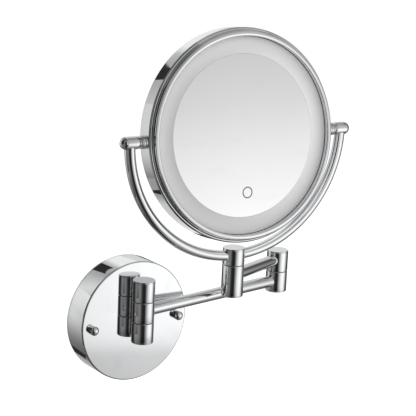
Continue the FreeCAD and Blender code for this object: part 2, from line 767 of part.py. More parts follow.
def round_ring(name, inner, outer, bottom, top):
    """Returns a ring whose outer edge is rounded over its whole depth."""
    soft = (Dim.of(top) - bottom) * 0.4
    return turned(name, [
        (inner, bottom), (outer - soft, bottom, soft), (outer, bottom + soft),
        (outer, top - soft, soft), (outer - soft, top), (inner, top),
    ])


ring_hole = S.pivot_pin + 0.06
collar_radius = S.knob_radius + 0.2
collar_foot = S.drum_radius + 0.05
collar_top = collar_foot + 2.3
node("pivot_knobs", both_pivots(knob), pivot_home)
node("pivot_screws", both_pivots(pivot_screw), pivot_home)
node("pivot_friction_rings", both_pivots(lambda label: round_ring(
    f"friction_ring_{label}", ring_hole, S.knob_radius, collar_top + 0.05,
    S.knob_start - PRESS_GAP)), pivot_home)


# ---------------------------------------------------------------- mirror head

node("pivot_collars", both_pivots(lambda label: round_ring(
    f"collar_{label}", ring_hole, collar_radius, collar_foot, collar_top)), head_home)

drum_inner = S.drum_radius - S.drum_wall
drum = ring("drum", drum_inner, S.drum_radius, -S.drum_back, S.drum_front)
pivot_way = cylinder(S.pivot_pin + 0.1, S.yoke_radius * 2, at=(-S.yoke_radius, 0, 0),
                     turns=ALONG_X)
node("drum_shell", cut(drum, pivot_way), head_home)

bead_middle = S.lip_radius + S.bead_radius
bead_outer = bead_middle + S.bead_radius
bead_top = S.bead_height + S.bead_radius
step_radius = Dim.of(0.9)
shoulder = S.drum_radius - step_radius
land = S.drum_front + 1.6
rim = Dim.of(102.5)
crown = land + 2.4
skirt = drum_inner - 0.05
seal_depth = 0.55
rebate = S.glass_radius + 1.4
front_seat = S.glass_front + seal_depth
front_web = S.glass_front - 0.65
front_skirt = S.drum_front - 1.0
web_radius = rim - 0.4
front_bezel = turned("front_ring", [
    (S.drum_radius, S.drum_front), (S.drum_radius, land - step_radius, step_radius),
    (shoulder, land), (rim + 0.4, land), (rim, land + 0.4),
    (rim, crown - step_radius, step_radius), (rim - step_radius, crown),
    (bead_outer + 0.3, crown), (bead_outer, crown + 0.3),
    (bead_outer, S.bead_height, S.bead_radius), (bead_middle, bead_top, S.bead_radius),
    (S.lip_radius, S.bead_height), (S.lip_radius, front_seat),
    (rebate, front_seat), (rebate, front_web), (web_radius, front_web),
    (web_radius, front_skirt), (skirt, front_skirt), (skirt, S.drum_front),
])
node("front_bezel", front_bezel, head_home)

back_land = S.drum_back + 1.5
back_seat = S.drum_back + 1.0
back_skirt = S.drum_back - 1.0
back_bezel = turned("back_ring", [
    (S.drum_radius, S.drum_back), (S.drum_radius, back_land - step_radius, step_radius),
    (shoulder, back_land), (bead_outer + 0.35, back_land),
    (bead_outer, S.bead_height, S.bead_radius), (bead_middle, bead_top, S.bead_radius),
    (S.lip_radius, S.bead_height), (S.lip_radius, back_seat), (rebate, back_seat),
    (rebate, back_skirt), (skirt, back_skirt), (skirt, S.drum_back),
])
node("back_bezel", back_bezel, head_home, turns=UPSIDE_DOWN)

glass_back = S.glass_front - S.glass_depth
seal_inner = S.lip_radius - 0.3
seal_gap = 0.01
node("front_seal", ring("front_gasket", seal_inner, S.glass_radius, S.glass_front + seal_gap,
                        front_seat - seal_gap), head_home)
node("front_mirror", turned("clear_glass", [
    (0, glass_back), (S.mirror_radius, glass_back), (S.mirror_radius, S.glass_front),
    (0, S.glass_front)]), head_home)
node("diffuser_ring", ring("frosted_glass", S.mirror_radius + 0.05, S.glass_radius, glass_back,
                           S.glass_front), head_home)

hollow = sag(S.magnifier_curve, S.glass_radius)
glass_floor = S.magnifier_middle - S.magnifier_glass
node("back_mirror", turned("magnifier", [
    (0, glass_floor, S.magnifier_curve), (S.glass_radius, glass_floor + hollow),
    (S.glass_radius, S.magnifier_middle + hollow, -S.magnifier_curve),
    (0, S.magnifier_middle),
]), head_home, turns=UPSIDE_DOWN)
node("back_seal", ring("back_gasket", seal_inner, S.glass_radius,
                       S.magnifier_middle + hollow + seal_gap, back_seat - seal_gap), head_home,
     turns=UPSIDE_DOWN)

channel_top = glass_back - PRESS_GAP
channel_floor = 1.5
inner_rib, inner_face = 77.5, 79.2
outer_face, outer_rib = 97.4, 98.9
node("light_box", turned("light_channel", [
    (inner_rib, 0), (outer_rib, 0), (outer_rib, channel_top), (outer_face, channel_top),
    (outer_face, channel_floor), (inner_face, channel_floor), (inner_face, channel_top),
    (inner_rib, channel_top),
]), head_home)
board_inner, board_outer = 81, 95
board_top = Dim.of(2.5)
node("led_board", ring("lamp_board", board_inner, board_outer, channel_floor + PRESS_GAP,
                       board_top), head_home)
lamp_long, lamp_wide, lamp_tall = 3, 2.4, 0.9
lamp_corner = (S.led_circle - lamp_long * 0.5, -lamp_wide * 0.5, board_top + 0.01)
lamps = []
for index in range(LED_COUNT):
    round_turn = placement_text(turns=[("Z", 360 / LED_COUNT * index)])
    lamp = box(lamp_long, lamp_wide, lamp_tall)
    lamp.setExpression("Placement", f"{round_turn} * {placement_text(lamp_corner)}")
    lamps.append(lamp)
node("leds", group(*lamps), head_home)

carrier_depth, carrier_back = 1.2, -1.25
notch_wide, notch_tall = 12, 16
carrier = cylinder(drum_inner - 0.05, carrier_depth, at=(0, 0, carrier_back))
notches = [box(notch_wide, notch_tall, 3 * carrier_depth, at=(S.drum_radius * side, 0, -3))
           for side in (-1, 1)]
node("carrier_plate", cut(carrier, *notches), head_home)
touch_wide, touch_tall, touch_depth = 24, 18, 1.6
node("touch_board", box(touch_wide, touch_tall, touch_depth), head_home,
     at=(S.touch_shift, -S.touch_drop, channel_top - touch_depth - 0.05))

boss_wide, boss_tall, boss_depth = 10, 14, 8


def boss(label):
    """Returns the block inside the drum that holds a pivot screw."""
    block = document.addObject("Part::Common", f"boss_block_{label}")
    block.Base = box(boss_wide, boss_tall, boss_depth, at=(0, 0, boss_inner))
    block.Tool = cylinder(drum_inner - PRESS_GAP, 2 * boss_wide, at=(-boss_wide, 0, 0),
                          turns=ALONG_X)
    bore = cylinder(S.pivot_pin + S.running_gap, boss_depth, at=(0, 0, boss_inner))
    seat = cylinder(screw_head + S.running_gap, head_seat_depth, at=(0, 0, boss_inner))
    return cut(block, bore, seat)


node("pivot_bosses", both_pivots(boss), head_home)


# ---------------------------------------------------------------- checks and files

document.recompute()
failed = [thing.Name for thing in document.Objects
          if "Invalid" in thing.State or "Error" in thing.State]
failed += [piece.Label for piece in NODES if piece.Shape.isNull() or not piece.Shape.isValid()]
if failed:
    raise RuntimeError("these objects did not build: " + ", ".join(failed))

os.makedirs("parts", exist_ok=True)
for piece in NODES:
    piece.Shape.exportStep(os.path.join("parts", f"{piece.Label}.step"))
print(f"{len(NODES)} nodes written")
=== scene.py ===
"""Wall-mounted extendable shaving mirror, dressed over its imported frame.

Every chromed part is a surface turned about an axis that the frame gives: a closed section of
radius and height is carried round a straight axle or along a bent hoop. Lengths are in metres.
The origin is the middle of the base's back face, +Z is up and -Y points into the room.
"""

import json
import logging
import math
from dataclasses import dataclass
from enum import Enum
from typing import Any, Iterable, Mapping, Optional, Protocol, Sequence, Union

import bpy
import numpy as np
from mathutils import Matrix, Vector


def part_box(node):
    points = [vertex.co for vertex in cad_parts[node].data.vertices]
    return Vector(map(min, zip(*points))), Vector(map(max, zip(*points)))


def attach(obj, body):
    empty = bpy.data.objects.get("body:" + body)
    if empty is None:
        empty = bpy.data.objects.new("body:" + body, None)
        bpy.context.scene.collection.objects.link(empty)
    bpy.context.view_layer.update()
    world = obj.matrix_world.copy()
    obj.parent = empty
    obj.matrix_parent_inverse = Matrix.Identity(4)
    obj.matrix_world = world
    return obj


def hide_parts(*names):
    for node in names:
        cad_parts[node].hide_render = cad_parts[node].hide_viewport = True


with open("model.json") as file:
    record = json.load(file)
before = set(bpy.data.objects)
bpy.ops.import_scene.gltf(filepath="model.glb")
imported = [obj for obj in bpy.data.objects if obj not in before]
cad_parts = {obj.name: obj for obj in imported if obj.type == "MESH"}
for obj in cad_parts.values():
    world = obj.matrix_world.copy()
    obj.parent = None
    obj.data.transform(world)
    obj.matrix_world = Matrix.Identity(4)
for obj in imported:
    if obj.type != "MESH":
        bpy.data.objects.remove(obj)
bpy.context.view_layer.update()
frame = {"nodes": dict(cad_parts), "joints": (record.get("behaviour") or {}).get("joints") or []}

MM = 0.001
PRESS_FIT = 0.02 * MM
LOOSE_FIT = 0.05 * MM
SHARP_EDGE = math.radians(28)
POLE_RADIUS = 1e-7
LOG = logging.getLogger("shaving_mirror")

Colour = tuple[float, float, float]
Value = Union["Signal", bpy.types.NodeSocket, float, Sequence[float]]


# ------------------------------------------------------------------ sections and axes


class Pen:
    """Draws a section in (radius, height), counter-clockwise round the metal."""

    def __init__(self, radius: float, height: float) -> None:
        """Starts the section at a point."""
        self.points = [(radius, height)]

    def line(self, radius: float, height: float) -> "Pen":
        """Adds a straight run to a point."""
        self.points.append((radius, height))
        return self

    def arc(self, radius: float, height: float, curve: float, steps: int = 8) -> "Pen":
        """Adds an arc to a point.

        The arc's centre stands off the middle of its chord by sqrt(curve^2 - chord^2 / 4).

        Args:
            radius: the end point's radius.
            height: the end point's height.
            curve: the arc's own radius, positive where it turns counter-clockwise.
            steps: straight pieces that stand for the arc.

        Returns:
            The same pen.
        """
        start, end = np.array(self.points[-1]), np.array((radius, height))
        chord = end - start
        length = float(np.hypot(*chord))
        lift = math.copysign(math.sqrt(max(curve ** 2 - length ** 2 / 4, 0.0)), curve)
        centre = (start + end) / 2 + lift * np.array((-chord[1], chord[0])) / length
        first = math.atan2(*(start - centre)[::-1])
        turn = (math.atan2(*(end - centre)[::-1]) - first) % math.tau
        if curve < 0:
            turn -= math.tau
        angles = first + turn * np.arange(1, steps + 1) / steps
        spots = centre + abs(curve) * np.stack([np.cos(angles), np.sin(angles)], axis=1)
        self.points += [tuple(spot) for spot in spots.tolist()]
        return self

    def section(self) -> np.ndarray:
        """Returns the section as an array of (radius, height)."""
        return np.array(self.points, float)


def ring_section(inner: float, outer: float, bottom: float, top: float,
                 soft: float = 0.0) -> np.ndarray:
    """Returns the section of a ring, with its two outer edges rounded.

    Args:
        inner: bore radius.
        outer: outside radius.
        bottom: lower height.
        top: upper height.
        soft: radius of the two outer edges.

    Returns:
        The section as an array of (radius, height).
    """
    if soft <= 0:
        return Pen(inner, bottom).line(outer, bottom).line(outer, top).line(inner, top).section()
    pen = Pen(inner, bottom).line(outer - soft, bottom).arc(outer, bottom + soft, soft, 5)
    pen.line(outer, top - soft).arc(outer - soft, top, soft, 5).line(inner, top)
    return pen.section()


class Spine(Protocol):
    """A line that a section is turned about."""

    def stations(self, heights: np.ndarray) -> tuple[np.ndarray, np.ndarray, np.ndarray]:
        """Returns the centres and the two cross directions at each height."""


@dataclass(frozen=True)
class Axle:
    """A straight axis: it points along the cross product of its two cross directions."""

    foot: np.ndarray
    across: np.ndarray
    up: np.ndarray

    @property
    def out(self) -> np.ndarray:
        """Returns the direction that heights are measured in."""
        return np.cross(self.across, self.up)

    def stations(self, heights: np.ndarray) -> tuple[np.ndarray, np.ndarray, np.ndarray]:
        """Returns foot + height * out, with the same cross directions all the way."""
        centres = self.foot + heights[:, None] * self.out
        flat = np.ones((len(heights), 1))
        return centres, flat * self.across, flat * self.up

    def turned_over(self) -> "Axle":
        """Returns the axle that points the other way."""
        return Axle(self.foot, self.across, -self.up)

    def moved(self, across: float = 0.0, up: float = 0.0, out: float = 0.0) -> "Axle":
        """Returns a parallel axle whose foot is moved along its own directions."""
        step = across * self.across + up * self.up + out * self.out
        return Axle(self.foot + step, self.across, self.up)


@dataclass(frozen=True)
class Hoop:
    """An axis bent round a circle: height is the length along it from its lowest point."""

    centre: np.ndarray
    down: np.ndarray
    sideways: np.ndarray
    radius: float

    def stations(self, heights: np.ndarray) -> tuple[np.ndarray, np.ndarray, np.ndarray]:
        """Returns centre + radius * (cos a down + sin a sideways), where a = height / radius."""
        angles = heights[:, None] / self.radius
        radial = np.cos(angles) * self.down + np.sin(angles) * self.sideways
        tangent = np.cos(angles) * self.sideways - np.sin(angles) * self.down
        return self.centre + self.radius * radial, radial, np.cross(tangent, radial)


def stretched(section: np.ndarray, longest: float) -> np.ndarray:
    """Returns a section whose long runs are divided, so that it can follow a bent axis."""
    ends = np.roll(section, -1, axis=0)
    counts = np.maximum(np.ceil(np.hypot(*(ends - section).T) / longest).astype(int), 1)
    owner = np.repeat(np.arange(len(section)), counts)
    share = (np.arange(len(owner)) - np.repeat(np.cumsum(counts) - counts, counts)) / counts[owner]
    return section[owner] + share[:, None] * (ends - section)[owner]


def turned_mesh(name: str, section: np.ndarray, spine: Spine, steps: int) -> bpy.types.Mesh:
    """Returns the closed surface of a section turned about a spine.

    Point (i, j) is centre(h_i) + r_i * (cos t_j * across(h_i) + sin t_j * up(h_i)), where
    t_j = 2 pi j / steps. A section point on the axis is one pole vertex.

    Args:
        name: the mesh's name.
        section: closed loop of (radius, height).
        spine: the axis.
        steps: divisions round the axis.

    Returns:
        A smooth-shaded mesh whose faces point outwards.
    """
    following = np.roll(section, -1, axis=0)
    area = np.sum(section[:, 0] * following[:, 1] - following[:, 0] * section[:, 1])
    if area < 0:
        section = section[::-1]
    radii, heights = section.T
    centres, across, up = spine.stations(heights)
    angles = math.tau * np.arange(steps) / steps
    reach = radii[:, None, None]
    grid = centres[:, None] + reach * (np.cos(angles)[None, :, None] * across[:, None]
                                       + np.sin(angles)[None, :, None] * up[:, None])
    poles = radii < POLE_RADIUS
    columns = np.arange(steps)
    kept = ~poles[:, None] | (columns == 0)
    counts = np.where(poles, 1, steps)
    index = (np.cumsum(counts) - counts)[:, None] + np.where(poles[:, None], 0, columns)
    above = np.roll(index, -1, axis=0)
    quads = np.stack([index, np.roll(index, -1, axis=1), np.roll(above, -1, axis=1), above], axis=2)
    next_poles = np.roll(poles, -1)
    full = quads[~poles & ~next_poles].reshape(-1, 4)
    fans = [quads[poles & ~next_poles][..., [0, 2, 3]].reshape(-1, 3),
            quads[~poles & next_poles][..., [0, 1, 2]].reshape(-1, 3)]
    faces = full.tolist() + np.concatenate(fans).tolist()
    mesh = bpy.data.meshes.new(name)
    mesh.from_pydata(grid[kept].tolist(), [], faces)
    mesh.shade_smooth()
    mesh.set_sharp_from_angle(angle=SHARP_EDGE)
    return mesh


# ------------------------------------------------------------------ shader expressions


class Signal:
    """A number that varies over a surface. Its operators add Math nodes."""

    def __init__(self, graph: "Graph", socket: bpy.types.NodeSocket) -> None:
        """Wraps an output socket."""
        self.graph = graph
        self.socket = socket

    def _math(self, operation: str, *values: Value) -> "Signal":
        """Returns the result of one Math node."""
        node = self.graph.add("ShaderNodeMath", {"operation": operation}, dict(enumerate(values)))
        return Signal(self.graph, node.outputs[0])

    def __add__(self, other: Value) -> "Signal":
        """Returns self + other."""
        return self._math("ADD", self, other)

    def __sub__(self, other: Value) -> "Signal":
        """Returns self - other."""
        return self._math("SUBTRACT", self, other)

    def __rsub__(self, other: Value) -> "Signal":
        """Returns other - self."""
        return self._math("SUBTRACT", other, self)

    def __mul__(self, other: Value) -> "Signal":
        """Returns self * other."""
        return self._math("MULTIPLY", self, other)

    __radd__ = __add__
    __rmul__ = __mul__

    def span(self, low: float, high: float) -> "Signal":
        """Returns 0 below low and 1 above high, with a smooth rise between them."""
        settings = {"interpolation_type": "SMOOTHSTEP"}
        sockets = {"Value": self, "From Min": low, "From Max": high}
        node = self.graph.add("ShaderNodeMapRange", settings, sockets)
        return Signal(self.graph, node.outputs["Result"])


class Graph:
    """The node tree of one finish, which ends in a Principled shader."""

    def __init__(self, name: str) -> None:
        """Makes the material and its two fixed nodes."""
        self.material = bpy.data.materials.new(name)
        self.material.use_nodes = True
        self.tree = self.material.node_tree
        self.tree.nodes.clear()
        output = self.add("ShaderNodeOutputMaterial")
        self.shader = self.add("ShaderNodeBsdfPrincipled")
        self.tree.links.new(self.shader.outputs["BSDF"], output.inputs["Surface"])

    def add(self, kind: str, settings: Optional[Mapping[str, Any]] = None,
            sockets: Optional[Mapping[Any, Value]] = None) -> bpy.types.Node:
        """Adds a node.

        Args:
            kind: the node's type.
            settings: its properties, which are set first.
            sockets: values or links of its inputs.

        Returns:
            The node.
        """
        node = self.tree.nodes.new(kind)
        for key, setting in (settings or {}).items():
            setattr(node, key, setting)
        for key, value in (sockets or {}).items():
            self.feed(node.inputs[key], value)
        return node

    def feed(self, socket: bpy.types.NodeSocket, value: Value) -> None:
        """Links a socket, or sets its value."""
        if isinstance(value, Signal):
            value = value.socket
        if isinstance(value, bpy.types.NodeSocket):
            self.tree.links.new(value, socket)
        elif isinstance(value, (tuple, list)) and socket.type == "RGBA":
            socket.default_value = (*value, 1.0)
        else:
            socket.default_value = value

    def finish(self, **sockets: Value) -> bpy.types.Material:
        """Sets the shader's own sockets, named with _ for a space, and returns the material."""
        for key, value in sockets.items():
            self.feed(self.shader.inputs[key.replace("_", " ")], value)
        return self.material

    def place(self, centre: Sequence[float] = (0, 0, 0), turn: Sequence[float] = (0, 0, 0),
              stretch: Sequence[float] = (1, 1, 1)) -> bpy.types.NodeSocket:
        """Returns the object's coordinates, centred, turned back and stretched."""
        source = self.add("ShaderNodeTexCoord").outputs["Object"]
        moved = self.add("ShaderNodeMapping", {"vector_type": "TEXTURE"},
                         {"Vector": source, "Location": centre, "Rotation": turn})
        sockets = {"Vector": moved.outputs["Vector"], "Scale": stretch}
        return self.add("ShaderNodeMapping", {}, sockets).outputs["Vector"]

    def noise(self, scale: float, detail: float = 2.0,
              place: Optional[bpy.types.NodeSocket] = None) -> Signal:
        """Returns soft noise; scale is in patches per metre."""
        sockets = {"Vector": place or self.place(), "Scale": scale, "Detail": detail}
        return Signal(self, self.add("ShaderNodeTexNoise", {}, sockets).outputs[0])

    def cells(self, scale: float, place: Optional[bpy.types.NodeSocket] = None) -> Signal:
        """Returns the distance from the nearest seed of a cell pattern."""
        sockets = {"Vector": place or self.place(), "Scale": scale}
        return Signal(self, self.add("ShaderNodeTexVoronoi", {}, sockets).outputs["Distance"])

    def reach(self, place: bpy.types.NodeSocket) -> Signal:
        """Returns how far a place is from the Z axis of its pattern."""
        level = self.add("ShaderNodeVectorMath", {"operation": "MULTIPLY"},
                         {0: place, 1: (1.0, 1.0, 0.0)})
        length = self.add("ShaderNodeVectorMath", {"operation": "LENGTH"},
                          {0: level.outputs["Vector"]})
        return Signal(self, length.outputs["Value"])

    def blend(self, share: Signal, low: Value, high: Value) -> bpy.types.NodeSocket:
        """Returns a colour between two colours."""
        node = self.add("ShaderNodeMix", {"data_type": "RGBA"}, {"Factor": share})
        colours = [socket for socket in node.inputs if socket.type == "RGBA"]
        self.feed(colours[0], low)
        self.feed(colours[1], high)
        return next(socket for socket in node.outputs if socket.type == "RGBA")

    def bump(self, height: Signal, depth: float, strength: float = 1.0) -> bpy.types.NodeSocket:
        """Returns a normal for a height of the given depth in metres."""
        sockets = {"Height": height, "Distance": depth, "Strength": strength}
        return self.add("ShaderNodeBump", {}, sockets).outputs["Normal"]


# ------------------------------------------------------------------ finishes


@dataclass(frozen=True)
class PolishedChrome:
    """Bright chrome plate with a trace of handling haze and polishing grain."""

    name: str
    bright: Colour = (0.93, 0.935, 0.945)
    hazy: Colour = (0.87, 0.88, 0.895)
    gloss: float = 0.018
    haze: float = 0.045

    def make(self) -> bpy.types.Material:
        """Returns the material: haze in patches of 20 mm, grain of a fraction of a millimetre."""
        graph = Graph(self.name)
        patches = graph.noise(48.0, 3.0).span(0.45, 0.8)
        grain = graph.noise(3200.0, 2.0, graph.place(stretch=(1.0, 1.0, 0.15)))
        colour = graph.blend(patches, self.bright, self.hazy)
        return graph.finish(Base_Color=colour, Metallic=1.0,
                            Roughness=self.gloss + patches * self.haze,
                            Normal=graph.bump(grain, 0.002 * MM, 0.35))


@dataclass(frozen=True)
class PlatedSteel:
    """Zinc-plated steel: dull spangle, slightly warm and cool in patches."""

    name: str
    cool: Colour = (0.55, 0.57, 0.60)
    warm: Colour = (0.64, 0.63, 0.58)

    def make(self) -> bpy.types.Material:
        """Returns the material: spangle cells of 2 mm over broad tints, with fine pitting."""
        graph = Graph(self.name)
        tint = graph.noise(90.0, 3.0).span(0.3, 0.7)
        spangle = graph.cells(520.0)
        pitting = graph.noise(4200.0, 3.0)
        return graph.finish(Base_Color=graph.blend(tint, self.cool, self.warm), Metallic=1.0,
                            Roughness=0.3 + spangle * 0.22,
                            Normal=graph.bump(pitting, 0.01 * MM, 0.6))


@dataclass(frozen=True)
class SilveredGlass:
    """A silvered mirror face, clean but for a faint breath of wiping marks."""

    name: str
    silver: Colour = (0.965, 0.968, 0.965)
    edge: Colour = (0.93, 0.95, 0.94)

    def make(self) -> bpy.types.Material:
        """Returns the material: wiping marks are long, soft and hardly rougher."""
        graph = Graph(self.name)
        wiping = graph.noise(22.0, 2.0, graph.place(stretch=(1.0, 1.0, 3.0))).span(0.5, 0.85)
        return graph.finish(Base_Color=graph.blend(wiping, self.silver, self.edge),
                            Metallic=1.0, Roughness=0.004 + wiping * 0.012)


@dataclass(frozen=True)
class FrostedGlass:
    """Etched glass over the lamps: milky, with painted shade where its hollow face leans left."""

    name: str
    centre: tuple[float, float, float]
    turn: tuple[float, float, float]
    inner: float
    outer: float
    pale: Colour = (0.55, 0.55, 0.555)
    # painted shade: the colour the band turns where shade is painted in
    painted_shade: Colour = (0.27, 0.27, 0.275)
    evenly: float = 0.34
    # weight of the painted shade where the hollow face leans left, away from the light
    painted_lean_weight: float = 0.36
    # weight of the painted shade that darkens the band towards the lower left
    painted_drift_weight: float = 0.09
    clouding: float = 0.06

    def make(self) -> bpy.types.Material:
        """Returns the material.

        The face leans left by (x / r) * (r - middle) / half, where x runs to the right and r is
        the distance from the middle of the mirror. The share of painted shade is evenly, plus the
        lean's weight times the lean, less the drift's weight times (x + y) / middle, plus clouding
        times a cloud. The band is greyer where the face leans left, away from the light, darker
        towards the lower left, and random clouds vary it.
        """
        graph = Graph(self.name)
        place = graph.place(self.centre, self.turn)
        reach = graph.reach(place)
        sides = graph.add("ShaderNodeSeparateXYZ", {}, {"Vector": place})
        right, rise = (Signal(graph, sides.outputs[axis]) for axis in ("X", "Y"))
        middle = (self.inner + self.outer) / 2
        half = (self.outer - self.inner) / 2
        # painted shade: how far the hollow face leans left, away from the light
        lean = right * (reach - middle) * (1 / (middle * half))
        etch = graph.noise(5200.0, 3.0)
        cloud = graph.noise(60.0, 2.0)
        # painted shade: paler towards the upper right, darker towards the lower left
        painted_drift_shade = (rise + right) * (self.painted_drift_weight / middle)
        share = self.evenly + lean * self.painted_lean_weight - painted_drift_shade + cloud * self.clouding
        colour = graph.blend(share, self.pale, self.painted_shade)
        return graph.finish(Base_Color=colour, Roughness=0.34 + etch * 0.1, IOR=1.5,
                            Normal=graph.bump(etch, 0.008 * MM, 0.4))


class Grain(Enum):
    """How a moulded or painted surface is textured: patches per metre and depth in metres."""

    SATIN = (2600.0, 0.006 * MM)
    MATT = (3600.0, 0.015 * MM)
    RUBBERY = (2200.0, 0.03 * MM)


@dataclass(frozen=True)
class Moulded:
    """A plastic, rubber, paint or ink with its own grain and slight unevenness of colour."""

    name: str
    main: Colour
    uneven: Colour
    grain: Grain = Grain.SATIN
    gloss: float = 0.42
    lustre: float = 0.5

    def make(self) -> bpy.types.Material:
        """Returns the material: flow clouds of 12 mm under the surface's own grain."""
        graph = Graph(self.name)
        scale, depth = self.grain.value
        flow = graph.noise(85.0, 3.0).span(0.3, 0.75)
        grain = graph.noise(scale, 3.0)
        colour = graph.blend(flow, self.main, self.uneven)
        return graph.finish(Base_Color=colour, Roughness=self.gloss + grain * 0.16,
                            Specular_IOR_Level=self.lustre,
                            Normal=graph.bump(grain, depth, 0.7))


@dataclass(frozen=True)
class CircuitBoard:
    """A white-masked board with a darker weave and fine bright tracks."""

    name: str
    mask: Colour = (0.78, 0.80, 0.78)
    weave: Colour = (0.60, 0.64, 0.60)

    def make(self) -> bpy.types.Material:
        """Returns the material: glass weave of 0.5 mm seen through the mask."""
        graph = Graph(self.name)
        place = graph.place()
        settings = {"wave_type": "BANDS", "bands_direction": "DIAGONAL"}
        wave = graph.add("ShaderNodeTexWave", settings, {"Vector": place, "Scale": 320.0})
        cloth = Signal(graph, wave.outputs[1])
        cloud = graph.noise(120.0, 2.0, place)
        colour = graph.blend(cloth * 0.5 + cloud * 0.3, self.mask, self.weave)
        return graph.finish(Base_Color=colour, Roughness=0.36 + cloud * 0.12,
                            Normal=graph.bump(cloth, 0.004 * MM, 0.5))


@dataclass(frozen=True)
class LampChip:
    """A small lamp's white case with a warm phosphor window."""

    name: str
    phosphor: Colour = (0.86, 0.66, 0.16)
    case: Colour = (0.86, 0.85, 0.80)

    def make(self) -> bpy.types.Material:
        """Returns the material: phosphor grains of 0.1 mm mottled with the case's white."""
        graph = Graph(self.name)
        grains = graph.cells(9000.0).span(0.1, 0.7)
        return graph.finish(Base_Color=graph.blend(grains, self.phosphor, self.case),
                            Roughness=0.3 + grains * 0.2)


# ------------------------------------------------------------------ what the frame gives


def joint(name: str) -> Mapping[str, Any]:
    """Returns the joint with the given name."""
    return next(entry for entry in frame["joints"] if entry["name"] == name)


def joint_spot(name: str) -> np.ndarray:
    """Returns the point that a joint turns about."""
    return np.array(joint(name)["pos_m"], float)


def middle_of(node: str) -> np.ndarray:
    """Returns the middle of a node's box."""
    low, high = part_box(node)
    return (np.array(low) + np.array(high)) / 2


def facing_of(node: str) -> np.ndarray:
    """Returns the direction that a flat node faces, towards the room.

    It is the direction in which the node's points spread least.
    """
    mesh = frame["nodes"][node].data
    points = np.empty(len(mesh.vertices) * 3)
    mesh.vertices.foreach_get("co", points)
    points = points.reshape(-1, 3)
    spread = np.linalg.svd(points - points.mean(axis=0), full_matrices=False)[2]
    return spread[-1] * -math.copysign(1.0, spread[-1][1])


def upright(spot: np.ndarray) -> Axle:
    """Returns the vertical axle through a point."""
    return Axle(spot, np.array((1.0, 0.0, 0.0)), np.array((0.0, 1.0, 0.0)))


def pointing(foot: np.ndarray, out: np.ndarray) -> Axle:
    """Returns an axle from a point in a direction that isn't vertical."""
    out = out / np.linalg.norm(out)
    across = np.cross((0.0, 0.0, 1.0), out)
    across /= np.linalg.norm(across)
    return Axle(foot, across, np.cross(out, across))


# ------------------------------------------------------------------ the bench


class Bench:
    """Turns sections into pieces, dresses them and keeps count."""

    def __init__(self, finishes: Mapping[str, bpy.types.Material]) -> None:
        """Takes the finishes by the record's slot names."""
        self.finishes = finishes
        self.count = 0

    def turn(self, name: str, section: np.ndarray, spine: Spine, body: str,
             stands_for: Iterable[str] = (), finish: str = "chrome", slot: str = "",
             steps: int = 96) -> bpy.types.Object:
        """Makes a piece by turning a section, and dresses it.

        Args:
            name: the piece's name.
            section: closed loop of (radius, height).
            spine: the axis that it is turned about.
            body: the CAD body that it rides on.
            stands_for: the CAD nodes that it replaces.
            finish: the finish's name.
            slot: not used; it would name the record's material slot, where it isn't the finish's
                own name.
            steps: divisions round the axis.

        Returns:
            The piece.
        """
        piece = bpy.data.objects.new(name, turned_mesh(name, section, spine, steps))
        bpy.context.scene.collection.objects.link(piece)
        piece.data.materials.append(self.finishes[finish])
        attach(piece, body)
        if stands_for:
            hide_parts(*stands_for)
        self.count += 1
        LOG.info("%s: %d faces, rides on %s", name, len(piece.data.polygons), body)
        return piece

    def dress(self, nodes: Iterable[str], finish: str) -> None:
        """Gives carried-over CAD nodes their finish."""
        for name in nodes:
            node = frame["nodes"][name]
            if not node.material_slots:
                node.data.materials.append(self.finishes[finish])
            for slot in node.material_slots:
                slot.material = self.finishes[finish]
            LOG.info("%s: carried over in %s", name, finish)


# ------------------------------------------------------------------ base


